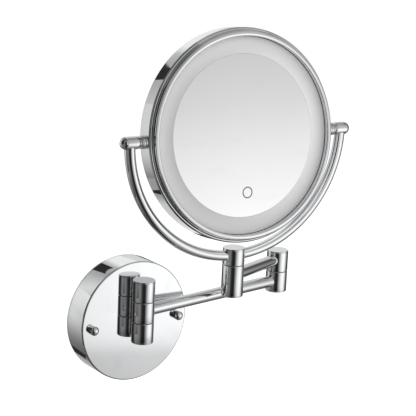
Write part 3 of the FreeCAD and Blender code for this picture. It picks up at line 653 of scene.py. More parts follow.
@dataclass
class WallBase:
    """The spun cover on the wall, its two domed nuts and what it hides."""

    bench: Bench
    radius: float = 60.0 * MM
    sheet: float = 1.2 * MM
    edge: float = 1.6 * MM
    foot_round: float = 0.3 * MM
    groove: float = 2.0 * MM
    rim_groove: float = 0.25 * MM
    nut_soft: float = 0.25 * MM
    nut_radius: float = 4.4 * MM
    nut_neck: float = 3.9 * MM
    nut_length: float = 4.4 * MM
    neck_length: float = 0.5 * MM
    dome_curve: float = 5.0 * MM

    def __post_init__(self) -> None:
        """Sets the base's axle and reads the cover's depth from the frame."""
        self.axle = Axle(np.zeros(3), np.array((1.0, 0.0, 0.0)), np.array((0.0, 0.0, 1.0)))
        self.depth = -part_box("base_cover")[0][1]

    def cover(self) -> None:
        """Turns the cover: a shallow drum with a spun edge and a hair groove by the wall."""
        inner, front, back = self.radius - self.sheet, self.depth, self.depth - self.sheet
        groove, cut = self.groove, self.rim_groove
        pen = Pen(inner, 0.0).line(self.radius - self.foot_round, 0.0)
        pen.arc(self.radius, self.foot_round, self.foot_round, 4)
        pen.line(self.radius, groove).line(self.radius - cut, groove + cut)
        pen.line(self.radius, groove + 2 * cut)
        pen.line(self.radius, front - self.edge)
        pen.arc(self.radius - self.edge, front, self.edge, 10).line(0.0, front).line(0.0, back)
        pen.line(inner - self.edge, back).line(inner, back - self.edge)
        self.bench.turn("base_cover_spun", pen.section(), self.axle, "base", ["base_cover"],
                        steps=240)

    def cap_nuts(self) -> None:
        """Turns each nut: a barrel, a groove and a dome, with softened edges."""
        low, high = (np.array(corner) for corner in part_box("cap_nuts"))
        spread = (high[0] - low[0]) / 2 - self.nut_radius
        height = (high[2] + low[2]) / 2
        foot = self.depth + PRESS_FIT
        neck = foot + self.nut_length
        dome = neck + self.neck_length
        top = -low[1]
        soft = self.nut_soft
        edge_rise = soft * 0.8
        pen = Pen(0.0, foot).line(self.nut_radius, foot).line(self.nut_radius, neck - soft)
        pen.arc(self.nut_radius - soft, neck, soft, 4).line(self.nut_neck, neck)
        pen.line(self.nut_neck, dome).line(self.nut_radius - soft, dome)
        pen.arc(self.nut_radius, dome + edge_rise, soft, 3)
        pen.arc(0.0, top, self.dome_curve, 10)
        for side, label in ((-1, "left"), (1, "right")):
            axle = self.axle.moved(across=spread * side, up=height)
            stands_for = ["cap_nuts"] if side < 0 else []
            self.bench.turn(f"cap_nut_{label}", pen.section(), axle, "base", stands_for, steps=72)

    def build(self) -> None:
        """Makes the base's pieces and dresses its hidden ones."""
        self.cover()
        self.cap_nuts()
        steel = ["wall_bracket", "bracket_studs", "hinge_mount_plate", "hinge_posts", "post_nuts",
                 "base_screws", "wall_hinge_pin", "wall_hinge_nuts"]
        self.bench.dress(steel, "zinc_steel")
        self.bench.dress(["wall_gasket", "cable_grommet"], "black_rubber")
        self.bench.dress(["led_driver"], "driver_case")
        self.bench.dress(["terminal_block", "cable_clamp"], "ivory_moulding")


# ------------------------------------------------------------------ hinge columns


class Recess(Enum):
    """Which end of a knuckle is hollowed for its nut and cap."""

    NONE = 0
    TOP = 1
    BOTTOM = -1


@dataclass
class HingeColumn:
    """One upright column: knuckles, joint washers and end caps about a vertical axis."""

    bench: Bench
    axle: Axle
    radius: float = 11.0 * MM
    soft: float = 0.35 * MM
    bore: float = 4.0 * MM
    bush_bore: float = 5.5 * MM
    recess_radius: float = 7.1 * MM
    cap_depth: float = 1.5 * MM
    cap_round: float = 0.7 * MM
    spigot: float = 2.0 * MM
    washer_radius: float = 10.3 * MM
    washer_bore: float = 4.1 * MM

    def knuckle(self, name: str, node: str, body: str, span: tuple[float, float],
                recess: Recess = Recess.NONE, hollow: float = 7.0 * MM, bushed: bool = False,
                stands_for: bool = True) -> None:
        """Turns one length of the column, with softened edges.

        Args:
            name: the piece's name.
            node: the CAD node.
            body: the body that it rides on.
            span: heights of its two ends above the axle's foot.
            recess: the end that is hollowed.
            hollow: depth of that recess.
            bushed: whether the bore is the larger one that holds a bush.
            stands_for: whether this piece is the one that replaces the node.
        """
        bottom, top = span
        bore = self.bush_bore if bushed else self.bore
        pen = Pen(bore, bottom)
        if recess is Recess.BOTTOM:
            floor = bottom + hollow
            pen = Pen(bore, floor).line(self.recess_radius, floor)
            pen.line(self.recess_radius, bottom)
        pen.line(self.radius - self.soft, bottom)
        pen.arc(self.radius, bottom + self.soft, self.soft, 5)
        pen.line(self.radius, top - self.soft)
        pen.arc(self.radius - self.soft, top, self.soft, 5)
        if recess is Recess.TOP:
            floor = top - hollow
            pen.line(self.recess_radius, top).line(self.recess_radius, floor).line(bore, floor)
        else:
            pen.line(bore, top)
        self.bench.turn(name, pen.section(), self.axle, body, [node] if stands_for else [],
                        steps=128)

    def cap(self, name: str, node: str, body: str, seat: float, upwards: bool,
            stands_for: bool = True) -> None:
        """Turns an end cap: a rounded disc, its face slightly crowned, with a spigot."""
        crown, arris = 0.12 * MM, 0.15 * MM
        spigot_radius = self.recess_radius - PRESS_FIT
        face = self.radius - self.cap_round
        pen = Pen(0.0, -self.spigot).line(spigot_radius, -self.spigot).line(spigot_radius, 0.0)
        pen.line(self.radius - arris, 0.0).line(self.radius, arris)
        pen.line(self.radius, self.cap_depth - self.cap_round - crown)
        pen.arc(face, self.cap_depth - crown, self.cap_round, 8)
        pen.arc(0.0, self.cap_depth, (face ** 2 + crown ** 2) / (2 * crown), 8)
        axle = self.axle.moved(out=seat)
        if not upwards:
            axle = axle.turned_over()
        self.bench.turn(name, pen.section(), axle, body, [node] if stands_for else [], steps=128)

    def washer(self, name: str, node: str, body: str, middle: float,
               stands_for: bool = True) -> None:
        """Turns the thin washer that shows as a dark line between two knuckles."""
        half = 0.25 * MM
        section = ring_section(self.washer_bore, self.washer_radius, middle - half, middle + half)
        self.bench.turn(name, section, self.axle, body, [node] if stands_for else [],
                        finish="nylon", steps=96)


@dataclass
class Arm:
    """The three hinge columns and the two tubes between them."""

    bench: Bench
    pitch: float = 20.9 * MM
    elbow_half: float = 22.1 * MM
    swivel_lower: float = 32.8 * MM
    swivel_upper: float = 17.2 * MM
    swivel_hollow: float = 14.0 * MM
    gap: float = 0.25 * MM
    running: float = 0.04 * MM
    cap_depth: float = 1.5 * MM
    tube_radius: float = 6.0 * MM
    tube_wall: float = 1.0 * MM
    tube_seat: float = 8.0 * MM
    tube_run: float = 12 * MM

    def __post_init__(self) -> None:
        """Reads the three axes from the frame's joints."""
        arm_height = middle_of("inner_arm_tube")[2]
        wall = joint_spot("wall_hinge")
        self.wall = upright(np.array((wall[0], wall[1], arm_height)))
        elbow = joint_spot("elbow_hinge")
        self.elbow = upright(np.array((elbow[0], elbow[1], middle_of("elbow_washer")[2])))
        swivel = joint_spot("yoke_swivel")
        self.swivel = upright(np.array((swivel[0], swivel[1], middle_of("swivel_washer")[2])))

    def wall_column(self) -> None:
        """Makes the column on the base: two fixed knuckles with the inner arm's between."""
        column = HingeColumn(self.bench, self.wall)
        half, end = self.pitch / 2, self.pitch * 1.5 - self.cap_depth
        column.knuckle("hinge_upper_knuckle", "hinge_end_knuckles", "base",
                       (half + self.gap, end), Recess.TOP)
        column.knuckle("hinge_lower_knuckle", "hinge_end_knuckles", "base",
                       (-end, -half - self.gap), Recess.BOTTOM, stands_for=False)
        middle = half - self.gap - self.running
        column.knuckle("hinge_middle_knuckle_turned", "hinge_middle_knuckle", "inner_arm",
                       (-middle, middle), bushed=True)
        column.cap("wall_hinge_top_cap", "wall_hinge_caps", "base", end, True)
        column.cap("wall_hinge_bottom_cap", "wall_hinge_caps", "base", -end, False, False)
        column.washer("wall_hinge_upper_washer", "wall_hinge_washers", "base", half)
        column.washer("wall_hinge_lower_washer", "wall_hinge_washers", "base", -half, False)

    def elbow_column(self) -> None:
        """Makes the column between the two arms."""
        column = HingeColumn(self.bench, self.elbow)
        end = self.elbow_half - self.cap_depth
        column.knuckle("elbow_lower_turned", "elbow_lower_knuckle", "inner_arm",
                       (-end, -self.gap), Recess.BOTTOM)
        column.knuckle("elbow_upper_turned", "elbow_upper_knuckle", "outer_arm",
                       (self.gap + self.running, end), Recess.TOP, bushed=True)
        column.cap("elbow_bottom_cap", "elbow_lower_cap", "inner_arm", -end, False)
        column.cap("elbow_top_cap", "elbow_upper_cap", "outer_arm", end, True)
        column.washer("elbow_joint_washer", "elbow_washer", "inner_arm", 0.0)

    def swivel_column(self) -> None:
        """Makes the column that carries the yoke."""
        column = HingeColumn(self.bench, self.swivel)
        foot, end = self.swivel_lower - self.cap_depth, self.swivel_upper - self.cap_depth
        column.knuckle("swivel_lower_turned", "swivel_lower_knuckle", "outer_arm",
                       (-foot, -self.gap), Recess.BOTTOM, self.swivel_hollow)
        column.knuckle("swivel_upper_turned", "swivel_upper_knuckle", "yoke",
                       (self.gap + self.running, end), Recess.TOP, bushed=True)
        column.cap("swivel_bottom_cap", "swivel_lower_cap", "outer_arm", -foot, False)
        column.cap("swivel_top_cap", "swivel_upper_cap", "yoke", end, True)
        column.washer("swivel_joint_washer", "swivel_washer", "outer_arm", 0.0)

    def tube(self, node: str, body: str, start: Axle, end: Axle) -> None:
        """Draws a straight tube between two columns, its ends seated inside them."""
        height = middle_of(node)[2]
        foot = np.array((start.foot[0], start.foot[1], height))
        far = np.array((end.foot[0], end.foot[1], height))
        length = float(np.linalg.norm(far - foot))
        section = ring_section(self.tube_radius - self.tube_wall, self.tube_radius,
                               self.tube_seat, length - self.tube_seat)
        section = stretched(section, self.tube_run)
        self.bench.turn(f"{node}_drawn", section, pointing(foot, far - foot), body, [node],
                        steps=96)

    def build(self) -> None:
        """Makes the arm's pieces and dresses its hidden ones."""
        self.wall_column()
        self.elbow_column()
        self.swivel_column()
        self.tube("inner_arm_tube", "inner_arm", self.wall, self.elbow)
        self.tube("outer_arm_tube", "outer_arm", self.elbow, self.swivel)
        steel = ["elbow_spring_washer", "elbow_pin", "elbow_nuts", "swivel_spring_washer",
                 "swivel_pin", "swivel_nuts"]
        self.bench.dress(steel, "zinc_steel")
        self.bench.dress(["wall_hinge_bush", "elbow_bush", "swivel_bush"], "nylon")


# ------------------------------------------------------------------ yoke


@dataclass
class Yoke:
    """The U-shaped tube, its two pivot knobs and the ribbed rings beside them."""

    bench: Bench
    radius: float = 120.8 * MM
    tube: float = 5.2 * MM
    wall: float = 1.0 * MM
    foot_angle: float = 3.9
    tip_angle: float = 1.2
    knob_radius: float = 6.4 * MM
    knob_start: float = 109.5 * MM
    knob_ball: float = 124.5 * MM
    collar_radius: float = 6.4 * MM
    collar_start: float = 104.55 * MM
    collar_end: float = 106.85 * MM
    pin: float = 2.4 * MM
    pin_play: float = 0.06 * MM
    ring_soft: float = 0.9 * MM
    tube_run: float = 2.2 * MM

    def __post_init__(self) -> None:
        """Reads the pivot axis from the frame's tilt joint."""
        self.centre = joint_spot("head_tilt")
        self.across = np.array(joint("head_tilt")["axis"], float)
        if self.across[0] < 0:
            self.across = -self.across

    def hoop(self, side: int, label: str) -> None:
        """Bends one side of the tube from the swivel to its knob."""
        down = np.array((0.0, 0.0, -1.0))
        spine = Hoop(self.centre, down, self.across * side, self.radius)
        start = self.radius * math.radians(self.foot_angle)
        end = self.radius * math.radians(90 - self.tip_angle)
        section = ring_section(self.tube - self.wall, self.tube, start, end)
        self.bench.turn(f"yoke_bend_{label}", stretched(section, self.tube_run), spine, "yoke",
                        [f"yoke_tube_{label}"], steps=72)

    def knob(self, axle: Axle, label: str, stands_for: Sequence[str]) -> None:
        """Turns a knob: a rib, a waist, and a barrel that swells a little and ends in a ball."""
        rib, waist, waist_cut = 0.75 * MM, 1.0 * MM, 1.15 * MM
        swell, swell_curve = 3.2 * MM, 5.5 * MM
        rib_end = self.knob_start + 2 * rib
        waist_radius = self.knob_radius - waist_cut
        barrel = rib_end + waist
        shoulder = barrel + swell
        bore, bore_end = self.pin + PRESS_FIT, self.knob_ball - 1.7 * MM
        pen = Pen(bore, self.knob_start).line(self.knob_radius - rib, self.knob_start)
        pen.arc(self.knob_radius - rib, rib_end, rib, 10)
        pen.line(waist_radius, rib_end).line(waist_radius, barrel)
        pen.arc(self.knob_radius, shoulder, swell_curve, 8)
        pen.line(self.knob_radius, self.knob_ball)
        pen.arc(0.0, self.knob_ball + self.knob_radius, self.knob_radius, 16)
        pen.line(0.0, bore_end).line(bore, bore_end)
        self.bench.turn(f"pivot_knob_{label}", pen.section(), axle, "yoke", stands_for, steps=96)

    def pivot(self, side: int, label: str) -> None:
        """Makes one pivot: collar on the head, ring and knob on the yoke."""
        axle = pointing(self.centre, self.across * side)
        first = side < 0
        bore = self.pin + self.pin_play
        ring_start, ring_end = self.collar_end + LOOSE_FIT, self.knob_start - PRESS_FIT
        self.knob(axle, label, ["pivot_knobs"] if first else [])
        ring = ring_section(bore, self.knob_radius, ring_start, ring_end, self.ring_soft)
        self.bench.turn(f"friction_ring_{label}", ring, axle, "yoke",
                        ["pivot_friction_rings"] if first else [], steps=72)
        collar = ring_section(bore, self.collar_radius, self.collar_start, self.collar_end,
                              self.ring_soft)
        self.bench.turn(f"pivot_collar_{label}", collar, axle, "head",
                        ["pivot_collars"] if first else [], steps=72)

    def build(self) -> None:
        """Makes both sides."""
        for side, label in ((-1, "left"), (1, "right")):
            self.hoop(side, label)
            self.pivot(side, label)
        self.bench.dress(["pivot_screws"], "zinc_steel")


# ------------------------------------------------------------------ mirror head


@dataclass
class MirrorHead:
    """The drum with a beaded bezel, a lit flat mirror in front and a magnifying one behind."""

    bench: Bench
    radius: float = 104.5 * MM
    sheet: float = 1.2 * MM
    front: float = 6.3 * MM
    back: float = 9.2 * MM
    lip: float = 96.2 * MM
    bead: float = 2.25 * MM
    bead_height: float = 11.02 * MM
    bead_turn: float = 0.95 * MM
    bead_crown: float = 3.2 * MM
    rim: float = 102.3 * MM
    slope: float = 1.4 * MM
    upper_slope: float = 1.2 * MM
    slope_curve: float = 4.0 * MM
    step: float = 0.9 * MM
    land: float = 7.9 * MM
    crown: float = 10.3 * MM
    groove_floor: float = 9.2 * MM
    groove_slant: float = 0.15 * MM
    web: float = 0.65 * MM
    skirt_depth: float = 1.0 * MM
    rebate: float = 99.3 * MM
    glass: float = 97.9 * MM
    clear: float = 79.3 * MM
    glass_front: float = 8.05 * MM
    glass_depth: float = 3.0 * MM
    seal_depth: float = 0.5 * MM
    magnifier_curve: float = 900.0 * MM
    magnifier_middle: float = 4.3 * MM
    magnifier_glass: float = 2.5 * MM
    paint: float = 0.25 * MM
    mark_radius: float = 5.8 * MM
    mark_line: float = 1.3 * MM
    mark_spot: tuple[float, float] = (3.0 * MM, -55.5 * MM)

    def __post_init__(self) -> None:
        """Reads the head's axes from the tilt joint and from the mirror itself."""
        centre = joint_spot("head_tilt")
        facing = facing_of("front_mirror")
        across = np.array(joint("head_tilt")["axis"], float)
        if across[0] < 0:
            across = -across
        self.axle = Axle(centre, across, np.cross(facing, across))

    def beaded(self, pen: Pen) -> Pen:
        """Adds the rolled bead: up its outer side, over a gentle crown and down to the lip."""
        outer, turn = self.lip + 2 * self.bead, self.bead_turn
        top = self.bead_height + self.bead
        chord = self.bead - turn
        crown = self.bead_crown - math.sqrt(self.bead_crown ** 2 - chord ** 2)
        shoulder = top - crown
        pen.line(outer, shoulder - turn).arc(outer - turn, shoulder, turn, 6)
        pen.arc(self.lip + turn, shoulder, self.bead_crown, 8)
        return pen.arc(self.lip, shoulder - turn, turn, 6).line(self.lip, self.bead_height)

    def front_bezel(self) -> None:
        """Turns the front bezel: two sloped steps up from the drum, a groove and the bead."""
        skirt = self.radius - self.sheet - LOOSE_FIT
        seat = self.glass_front + self.seal_depth + LOOSE_FIT
        web, foot = self.glass_front - self.web, self.front - self.skirt_depth
        corner = 0.25 * MM
        bead_outer = self.lip + 2 * self.bead
        pen = Pen(self.radius, self.front).line(self.radius, self.land - self.slope)
        pen.arc(self.radius - self.slope, self.land, self.slope_curve, 10)
        pen.line(self.rim + corner, self.land).arc(self.rim, self.land + corner, -corner, 4)
        pen.line(self.rim, self.crown - self.upper_slope)
        pen.arc(self.rim - self.upper_slope, self.crown, self.slope_curve, 10)
        pen.line(bead_outer + self.groove_slant, self.groove_floor)
        pen.line(bead_outer, self.groove_floor)
        self.beaded(pen).line(self.lip, seat).line(self.rebate, seat).line(self.rebate, web)
        pen.line(self.rim - corner, web).line(self.rim - corner, foot)
        pen.line(skirt, foot).line(skirt, self.front)
        self.bench.turn("front_bezel_rolled", pen.section(), self.axle, "head", ["front_bezel"],
                        steps=288)

    def back_bezel(self) -> None:
        """Turns the back bezel: one rounded step and the same bead."""
        skirt = self.radius - self.sheet - LOOSE_FIT
        land, seat, foot = self.back + 1.5 * MM, self.back + 1.0 * MM, self.back - self.skirt_depth
        ledge, slant, groove_floor = 0.35 * MM, 0.1 * MM, land - 0.5 * MM
        bead_outer = self.lip + 2 * self.bead
        pen = Pen(self.radius, self.back).line(self.radius, land - self.step)
        pen.arc(self.radius - self.step, land, self.step, 8).line(bead_outer + ledge, land)
        pen.line(bead_outer + slant, groove_floor).line(bead_outer, groove_floor)
        self.beaded(pen).line(self.lip, seat).line(self.rebate, seat).line(self.rebate, foot)
        pen.line(skirt, foot).line(skirt, self.back)
        self.bench.turn("back_bezel_rolled", pen.section(), self.axle.turned_over(), "head",
                        ["back_bezel"], steps=288)

    def drum(self) -> None:
        """Turns the drum's side between the two bezels, with its closing seams."""
        inner, seam = self.radius - self.sheet, 0.12 * MM
        pen = Pen(inner, -self.back).line(self.radius - seam, -self.back)
        pen.line(self.radius, -self.back + seam).line(self.radius, self.front - seam)
        pen.line(self.radius - seam, self.front).line(inner, self.front)
        self.bench.turn("drum_side", pen.section(), self.axle, "head", ["drum_shell"], steps=288)

    def flat_mirror(self) -> None:
        """Turns the clear front glass and the paint on its back."""
        back = self.glass_front - self.glass_depth
        arris = 0.12 * MM
        pen = Pen(0.0, back + self.paint).line(self.clear, back + self.paint)
        pen.line(self.clear, self.glass_front - arris)
        pen.line(self.clear - arris, self.glass_front).line(0.0, self.glass_front)
        self.bench.turn("flat_mirror_glass", pen.section(), self.axle, "head", ["front_mirror"],
                        finish="mirror_glass", steps=240)
        pen = Pen(0.0, back).line(self.clear - arris, back)
        pen.line(self.clear - arris, back + self.paint).line(0.0, back + self.paint)
        self.bench.turn("flat_mirror_paint", pen.section(), self.axle, "head",
                        finish="backing_paint", slot="mirror_glass", steps=120)

    def diffuser(self) -> None:
        """Turns the frosted band, its face hollowed by a fraction of a millimetre."""
        back, inner, outer = self.glass_front - self.glass_depth, self.clear + LOOSE_FIT, self.glass
        hollow = 0.45 * MM
        chord = outer - inner
        curve = chord ** 2 / (8 * hollow) + hollow / 2
        pen = Pen(inner, back).line(outer, back).line(outer, self.glass_front)
        pen.arc(inner, self.glass_front, -curve, 20)
        self.bench.turn("frosted_band", pen.section(), self.axle, "head", ["diffuser_ring"],
                        finish="frosted_glass", steps=240)

    def magnifier(self) -> None:
        """Turns the dished mirror on the back and the paint behind it."""
        curve, edge = self.magnifier_curve, self.glass
        sag = curve - math.sqrt(curve ** 2 - edge ** 2)
        face, floor = self.magnifier_middle, self.magnifier_middle - self.magnifier_glass
        coat = floor + self.paint
        axle = self.axle.turned_over()
        pen = Pen(0.0, coat).arc(edge, coat + sag, curve, 40).line(edge, face + sag)
        pen.arc(0.0, face, -curve, 40)
        self.bench.turn("magnifier_glass", pen.section(), axle, "head", ["back_mirror"],
                        finish="mirror_glass", steps=240)
        pen = Pen(0.0, floor).arc(edge, floor + sag, curve, 24).line(edge, coat + sag)
        pen.arc(0.0, coat, -curve, 24)
        self.bench.turn("magnifier_paint", pen.section(), axle, "head", finish="backing_paint",
                        slot="mirror_glass", steps=120)

    def seals(self) -> None:
        """Turns the two thin seals under the bezels' lips."""
        inner, gap = self.lip - 0.3 * MM, 0.01 * MM
        start = self.glass_front + gap
        section = ring_section(inner, self.glass, start, start + self.seal_depth)
        self.bench.turn("front_seal_ring", section, self.axle, "head", ["front_seal"],
                        finish="black_rubber", steps=240)
        curve = self.magnifier_curve
        sag = curve - math.sqrt(curve ** 2 - self.glass ** 2)
        start, end = self.magnifier_middle + sag + gap, self.back + 0.98 * MM
        section = ring_section(inner, self.glass, start, end)
        self.bench.turn("back_seal_ring", section, self.axle.turned_over(), "head", ["back_seal"],
                        finish="black_rubber", steps=240)

    def touch_mark(self) -> None:
        """Prints the switch's plain ring on the glass, in front of its board."""
        across, up = self.mark_spot
        axle = self.axle.moved(across, up, self.glass_front)
        sunk, proud = -0.01 * MM, 0.02 * MM
        section = ring_section(self.mark_radius - self.mark_line, self.mark_radius, sunk, proud)
        self.bench.turn("touch_mark", section, axle, "head", finish="touch_ink",
                        slot="mirror_glass", steps=72)

    def build(self) -> None:
        """Makes the head's pieces and dresses its hidden ones."""
        self.drum()
        self.front_bezel()
        self.back_bezel()
        self.flat_mirror()
        self.diffuser()
        self.magnifier()
        self.seals()
        self.touch_mark()
        self.bench.dress(["light_box"], "white_moulding")
        self.bench.dress(["led_board", "touch_board"], "circuit_board")
        self.bench.dress(["leds"], "lamp")
        self.bench.dress(["carrier_plate", "pivot_bosses"], "zinc_steel")


def make_finishes(head: np.ndarray, facing: np.ndarray) -> dict[str, bpy.types.Material]:
    """Returns every finish by name.

    Args:
        head: the middle of the mirror head.
        facing: the direction that the head faces.

    Returns:
        The materials, most of them under the record's slot names.
    """
    turn = Vector(facing).to_track_quat("Z", "Y").to_euler()
    finishes = {
        "chrome": PolishedChrome("chrome_plate"),
        "zinc_steel": PlatedSteel("zinc_plate"),
        "nylon": Moulded("dark_nylon", (0.035, 0.035, 0.037), (0.055, 0.055, 0.058)),
        "black_rubber": Moulded("black_rubber", (0.018, 0.018, 0.018), (0.03, 0.03, 0.031),
                                Grain.RUBBERY, 0.6, 0.35),
        "mirror_glass": SilveredGlass("silvered_glass"),
        "frosted_glass": FrostedGlass("frosted_glass", tuple(head), tuple(turn),
                                      MirrorHead.clear, MirrorHead.lip),
        "white_moulding": Moulded("white_moulding", (0.80, 0.80, 0.79), (0.74, 0.74, 0.72)),
        "ivory_moulding": Moulded("ivory_moulding", (0.72, 0.68, 0.58), (0.66, 0.61, 0.50)),
        "driver_case": Moulded("driver_case", (0.10, 0.10, 0.105), (0.07, 0.07, 0.075),
                               Grain.MATT, 0.5),
        "backing_paint": Moulded("backing_paint", (0.30, 0.32, 0.34), (0.24, 0.26, 0.28),
                                 Grain.MATT, 0.5),
        "touch_ink": Moulded("touch_ink", (0.10, 0.10, 0.105), (0.14, 0.14, 0.145), Grain.SATIN,
                             0.45),
        "circuit_board": CircuitBoard("circuit_board"),
        "lamp": LampChip("lamp_chip"),
    }
    return {name: finish.make() for name, finish in finishes.items()}


# ------------------------------------------------------------------ studio


@dataclass(frozen=True)
class Panel:
    """A studio panel about the object, which lights nothing and shows only in reflections.

    It is a patch of a sphere. Its brightness is one curve over azimuth times one over
    elevation, each given as (angle, brightness) stops.
    """

    name: str
    azimuths: tuple[tuple[float, float], ...]
    elevations: tuple[tuple[float, float], ...]
    reach: float = 0.9
    centre: tuple[float, float, float] = (0.03, -0.10, 0.12)
    points_each_way: int = 49

    def build(self) -> None:
        """Makes the panel.

        Point (a, e) is centre + reach * (sin a cos e, -cos a cos e, sin e).
        """
        across, up = np.array(self.azimuths), np.array(self.elevations)
        azimuths = np.linspace(across[0, 0], across[-1, 0], self.points_each_way)
        elevations = np.linspace(up[0, 0], up[-1, 0], self.points_each_way)
        a, e = (np.radians(angles) for angles in np.meshgrid(azimuths, elevations))
        points = np.stack([np.sin(a) * np.cos(e), -np.cos(a) * np.cos(e), np.sin(e)], axis=2)
        points = points * self.reach + np.array(self.centre)
        index = np.arange(a.size).reshape(a.shape)
        faces = np.stack([index[:-1, :-1], index[:-1, 1:], index[1:, 1:], index[1:, :-1]], axis=2)
        mesh = bpy.data.meshes.new(self.name)
        mesh.from_pydata(points.reshape(-1, 3).tolist(), [], faces.reshape(-1, 4).tolist())
        glow = mesh.attributes.new("glow", "FLOAT", "POINT")
        shade = np.outer(np.interp(elevations, *up.T), np.interp(azimuths, *across.T))
        glow.data.foreach_set("value", shade.ravel())
        panel = bpy.data.objects.new(self.name, mesh)
        bpy.context.scene.collection.objects.link(panel)
        panel.visible_camera = False
        panel.visible_diffuse = False
        panel.visible_shadow = False
        panel.visible_transmission = False
        mesh.materials.append(self.glowing())
        LOG.info("panel %s", self.name)

    def glowing(self) -> bpy.types.Material:
        """Returns a plain light whose colour is the panel's glow."""
        graph = Graph(self.name)
        shade = graph.add("ShaderNodeAttribute", {"attribute_name": "glow"}).outputs["Color"]
        light = graph.add("ShaderNodeEmission", {}, {"Color": shade, "Strength": 1.0})
        output = next(node for node in graph.tree.nodes if node.type == "OUTPUT_MATERIAL")
        graph.tree.links.new(light.outputs["Emission"], output.inputs["Surface"])
        return graph.material


PANELS = (
    Panel("overhead", ((-180, 0.4), (-165, 0.25), (-140, 0.15), (-100, 0.08), (-70, 0.2),
                       (-40, 0.2), (-6, 0.35), (20, 0.4), (60, 0.42), (95, 0.32), (120, 0.45),
                       (150, 0.85), (168, 0.75), (180, 0.4)),
          ((45, 1.0), (60, 0.7), (89, 0.6))),
    Panel("upper_front", ((-86, 0.05), (-76, 0.17), (-66, 0.18), (-56, 0.05), (-30, 0.03),
                          (-23, 0.35), (-16, 0.85), (-6, 0.4), (8, 0.35), (20, 0.45),
                          (42, 0.55), (66, 0.45), (80, 0.2), (88, 0.07), (98, 0.1), (104, 0.4)),
          ((14, 1.0), (45, 0.9))),
    Panel("upper_back", ((104, 0.4), (114, 0.6), (134, 0.62), (146, 0.85), (165, 0.92),
                         (172, 0.5), (192, 0.42), (212, 0.75), (220, 0.4), (228, 0.1),
                         (240, 0.02), (266, 0.02), (274, 0.06)),
          ((14, 1.0), (30, 0.95), (45, 0.6))),
    Panel("eye_front", ((-86, 0.04), (-76, 0.18), (-66, 0.2), (-56, 0.05), (-30, 0.03),
                        (-23, 0.4), (-16, 0.95), (-6, 0.5), (6, 0.65), (18, 0.9), (32, 1.02),
                        (50, 1.02), (62, 0.75), (72, 0.4), (82, 0.16), (90, 0.07), (104, 0.09)),
          ((-8, 1.0), (-4, 1.0), (3, 0.84), (8, 0.7), (14, 0.59))),
    Panel("eye_back", ((104, 0.09), (118, 0.45), (126, 0.75), (150, 0.7), (160, 0.55),
                       (190, 0.4), (200, 0.65), (216, 0.82), (224, 0.7), (230, 0.1),
                       (240, 0.02), (266, 0.02), (274, 0.04)),
          ((-6, 0.86), (0, 0.95), (14, 1.0))),
    Panel("outline_card", ((104, 0.09), (143, 0.06), (192, 0.05), (196, 0.4), (202, 0.6),
                           (216, 0.74), (226, 0.5), (236, 0.2), (262, 0.17), (274, 0.17)),
          ((-26, 0.55), (-20, 0.76), (-14, 0.95), (-6, 1.0))),
    Panel("low_front", ((-86, 0.2), (-72, 0.19), (-62, 0.12), (-54, 0.04), (-40, 0.015),
                        (-18, 0.02), (-12, 0.18), (-2, 0.33), (6, 0.55), (16, 0.8), (28, 0.97),
                        (38, 1.08), (50, 1.08), (60, 0.88), (70, 0.62), (79, 0.3), (88, 0.08),
                        (104, 0.07)),
          ((-45, 0.48), (-38, 0.56), (-33, 0.63), (-31, 0.82), (-29, 0.93), (-26, 0.98),
           (-22, 1.0), (-8, 1.0))),
    Panel("low_back", ((104, 0.15), (118, 0.25), (130, 0.4), (145, 0.9), (160, 1.1),
                       (178, 1.1), (186, 0.5), (196, 0.33), (216, 0.4), (226, 0.35),
                       (240, 0.28), (262, 0.25), (274, 0.2)),
          ((-45, 0.3), (-40, 0.4), (-36, 0.52), (-32, 0.68), (-26, 1.0))),
    Panel("underfoot", ((-180, 0.15), (-150, 0.12), (-110, 0.22), (-78, 0.16), (-60, 0.06),
                        (-30, 0.01), (-16, 0.1), (-6, 0.3), (10, 0.5), (30, 0.45), (60, 0.4),
                        (80, 0.2), (96, 0.12), (110, 0.12), (130, 0.25), (155, 0.4), (168, 0.2),
                        (180, 0.15)),
          ((-89, 0.25), (-65, 0.4), (-45, 1.0))),
    Panel("high_flag", ((175.5, 0.02), (190, 0.03)), ((21.6, 1.0), (30.2, 1.0)), 0.69),
    Panel("low_flag", ((183, 0.02), (194, 0.03)), ((-43, 1.0), (-36, 1.0)), 0.88),
    Panel("lower_flag_edge", ((187, 0.02), (192, 0.03)), ((-36, 1.0), (-31, 1.0)), 0.88),
)


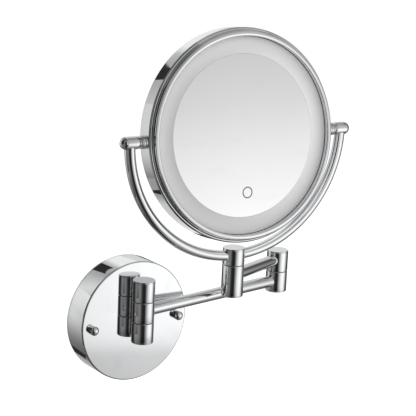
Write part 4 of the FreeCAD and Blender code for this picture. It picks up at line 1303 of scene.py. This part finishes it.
@dataclass
class Studio:
    """A pale floor under a white sky, soft lights and the camera."""

    floor_height: float = -0.95
    floor_reach: float = 40.0
    floor_depth: float = 0.01
    sky: float = 1.1
    azimuth: float = -36.73
    elevation: float = 13.75
    roll: float = 2.56
    distance: float = 1.28343
    target: tuple[float, float, float] = (0.02875, -0.100, 0.1261)
    lens: float = 120.47
    sensor: float = 36.0

    def world(self) -> None:
        """Makes the plain sky."""
        world = bpy.data.worlds.new("white_sky")
        world.use_nodes = True
        background = world.node_tree.nodes["Background"]
        background.inputs["Color"].default_value = (1.0, 1.0, 1.0, 1.0)
        background.inputs["Strength"].default_value = self.sky
        bpy.context.scene.world = world
        bpy.context.scene.view_settings.view_transform = "Standard"

    def floor(self) -> None:
        """Turns the floor: a thin disc whose upper face is at floor_height."""
        section = ring_section(0.0, self.floor_reach, -self.floor_depth, 0.0)
        axle = upright(np.array((0.0, 0.0, self.floor_height)))
        floor = bpy.data.objects.new("floor", turned_mesh("floor", section, axle, 96))
        bpy.context.scene.collection.objects.link(floor)
        paint = Moulded("floor_paint", (0.92, 0.92, 0.92), (0.91, 0.91, 0.915), Grain.MATT, 0.8)
        floor.data.materials.append(paint.make())

    def light(self, name: str, spot: tuple[float, float, float], size: float,
              power: float) -> None:
        """Adds a square soft light that points at the object."""
        data = bpy.data.lights.new(name, "AREA")
        data.size = size
        data.energy = power
        lamp = bpy.data.objects.new(name, data)
        lamp.location = spot
        aim = Vector(self.target) - Vector(spot)
        lamp.rotation_euler = aim.to_track_quat("-Z", "Y").to_euler()
        lamp.visible_glossy = False
        bpy.context.scene.collection.objects.link(lamp)

    def camera(self) -> None:
        """Stands the camera off its target by azimuth and elevation, and rolls it."""
        a, e, roll = (math.radians(angle) for angle in (self.azimuth, self.elevation, self.roll))
        back = Vector((math.sin(a) * math.cos(e), -math.cos(a) * math.cos(e), math.sin(e)))
        right = Vector((0.0, 0.0, 1.0)).cross(back).normalized()
        up = back.cross(right)
        turned = math.cos(roll) * right + math.sin(roll) * up
        upper = math.cos(roll) * up - math.sin(roll) * right
        data = bpy.data.cameras.new("camera")
        data.lens = self.lens
        data.sensor_width = self.sensor
        camera = bpy.data.objects.new("camera", data)
        place = Matrix((turned, upper, back)).transposed().to_4x4()
        place.translation = Vector(self.target) + back * self.distance
        camera.matrix_world = place
        bpy.context.scene.collection.objects.link(camera)
        bpy.context.scene.camera = camera

    def build(self) -> None:
        """Makes the whole studio."""
        self.world()
        self.floor()
        self.light("key_light", (-1.6, -2.2, 2.4), size=1.6, power=30.0)
        self.light("fill_light", (2.2, -1.6, 1.2), size=2.0, power=16.0)
        self.light("top_light", (0.4, 1.0, 3.0), size=3.0, power=60.0)
        for panel in PANELS:
            panel.build()
        self.camera()


def write_sizes() -> None:
    """Updates the view layer; it writes no sizes."""
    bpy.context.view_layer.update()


def main() -> None:
    """Builds the mirror, sub-assembly by sub-assembly, and its studio."""
    logging.basicConfig(level=logging.INFO, format="%(name)s: %(message)s")
    bench = Bench(make_finishes(joint_spot("head_tilt"), facing_of("front_mirror")))
    for part in (WallBase(bench), Arm(bench), Yoke(bench), MirrorHead(bench)):
        part.build()
        LOG.info("%s finished", type(part).__name__)
    Studio().build()
    write_sizes()
    LOG.info("%d new pieces", bench.count)


if __name__ == "__main__":
    main()
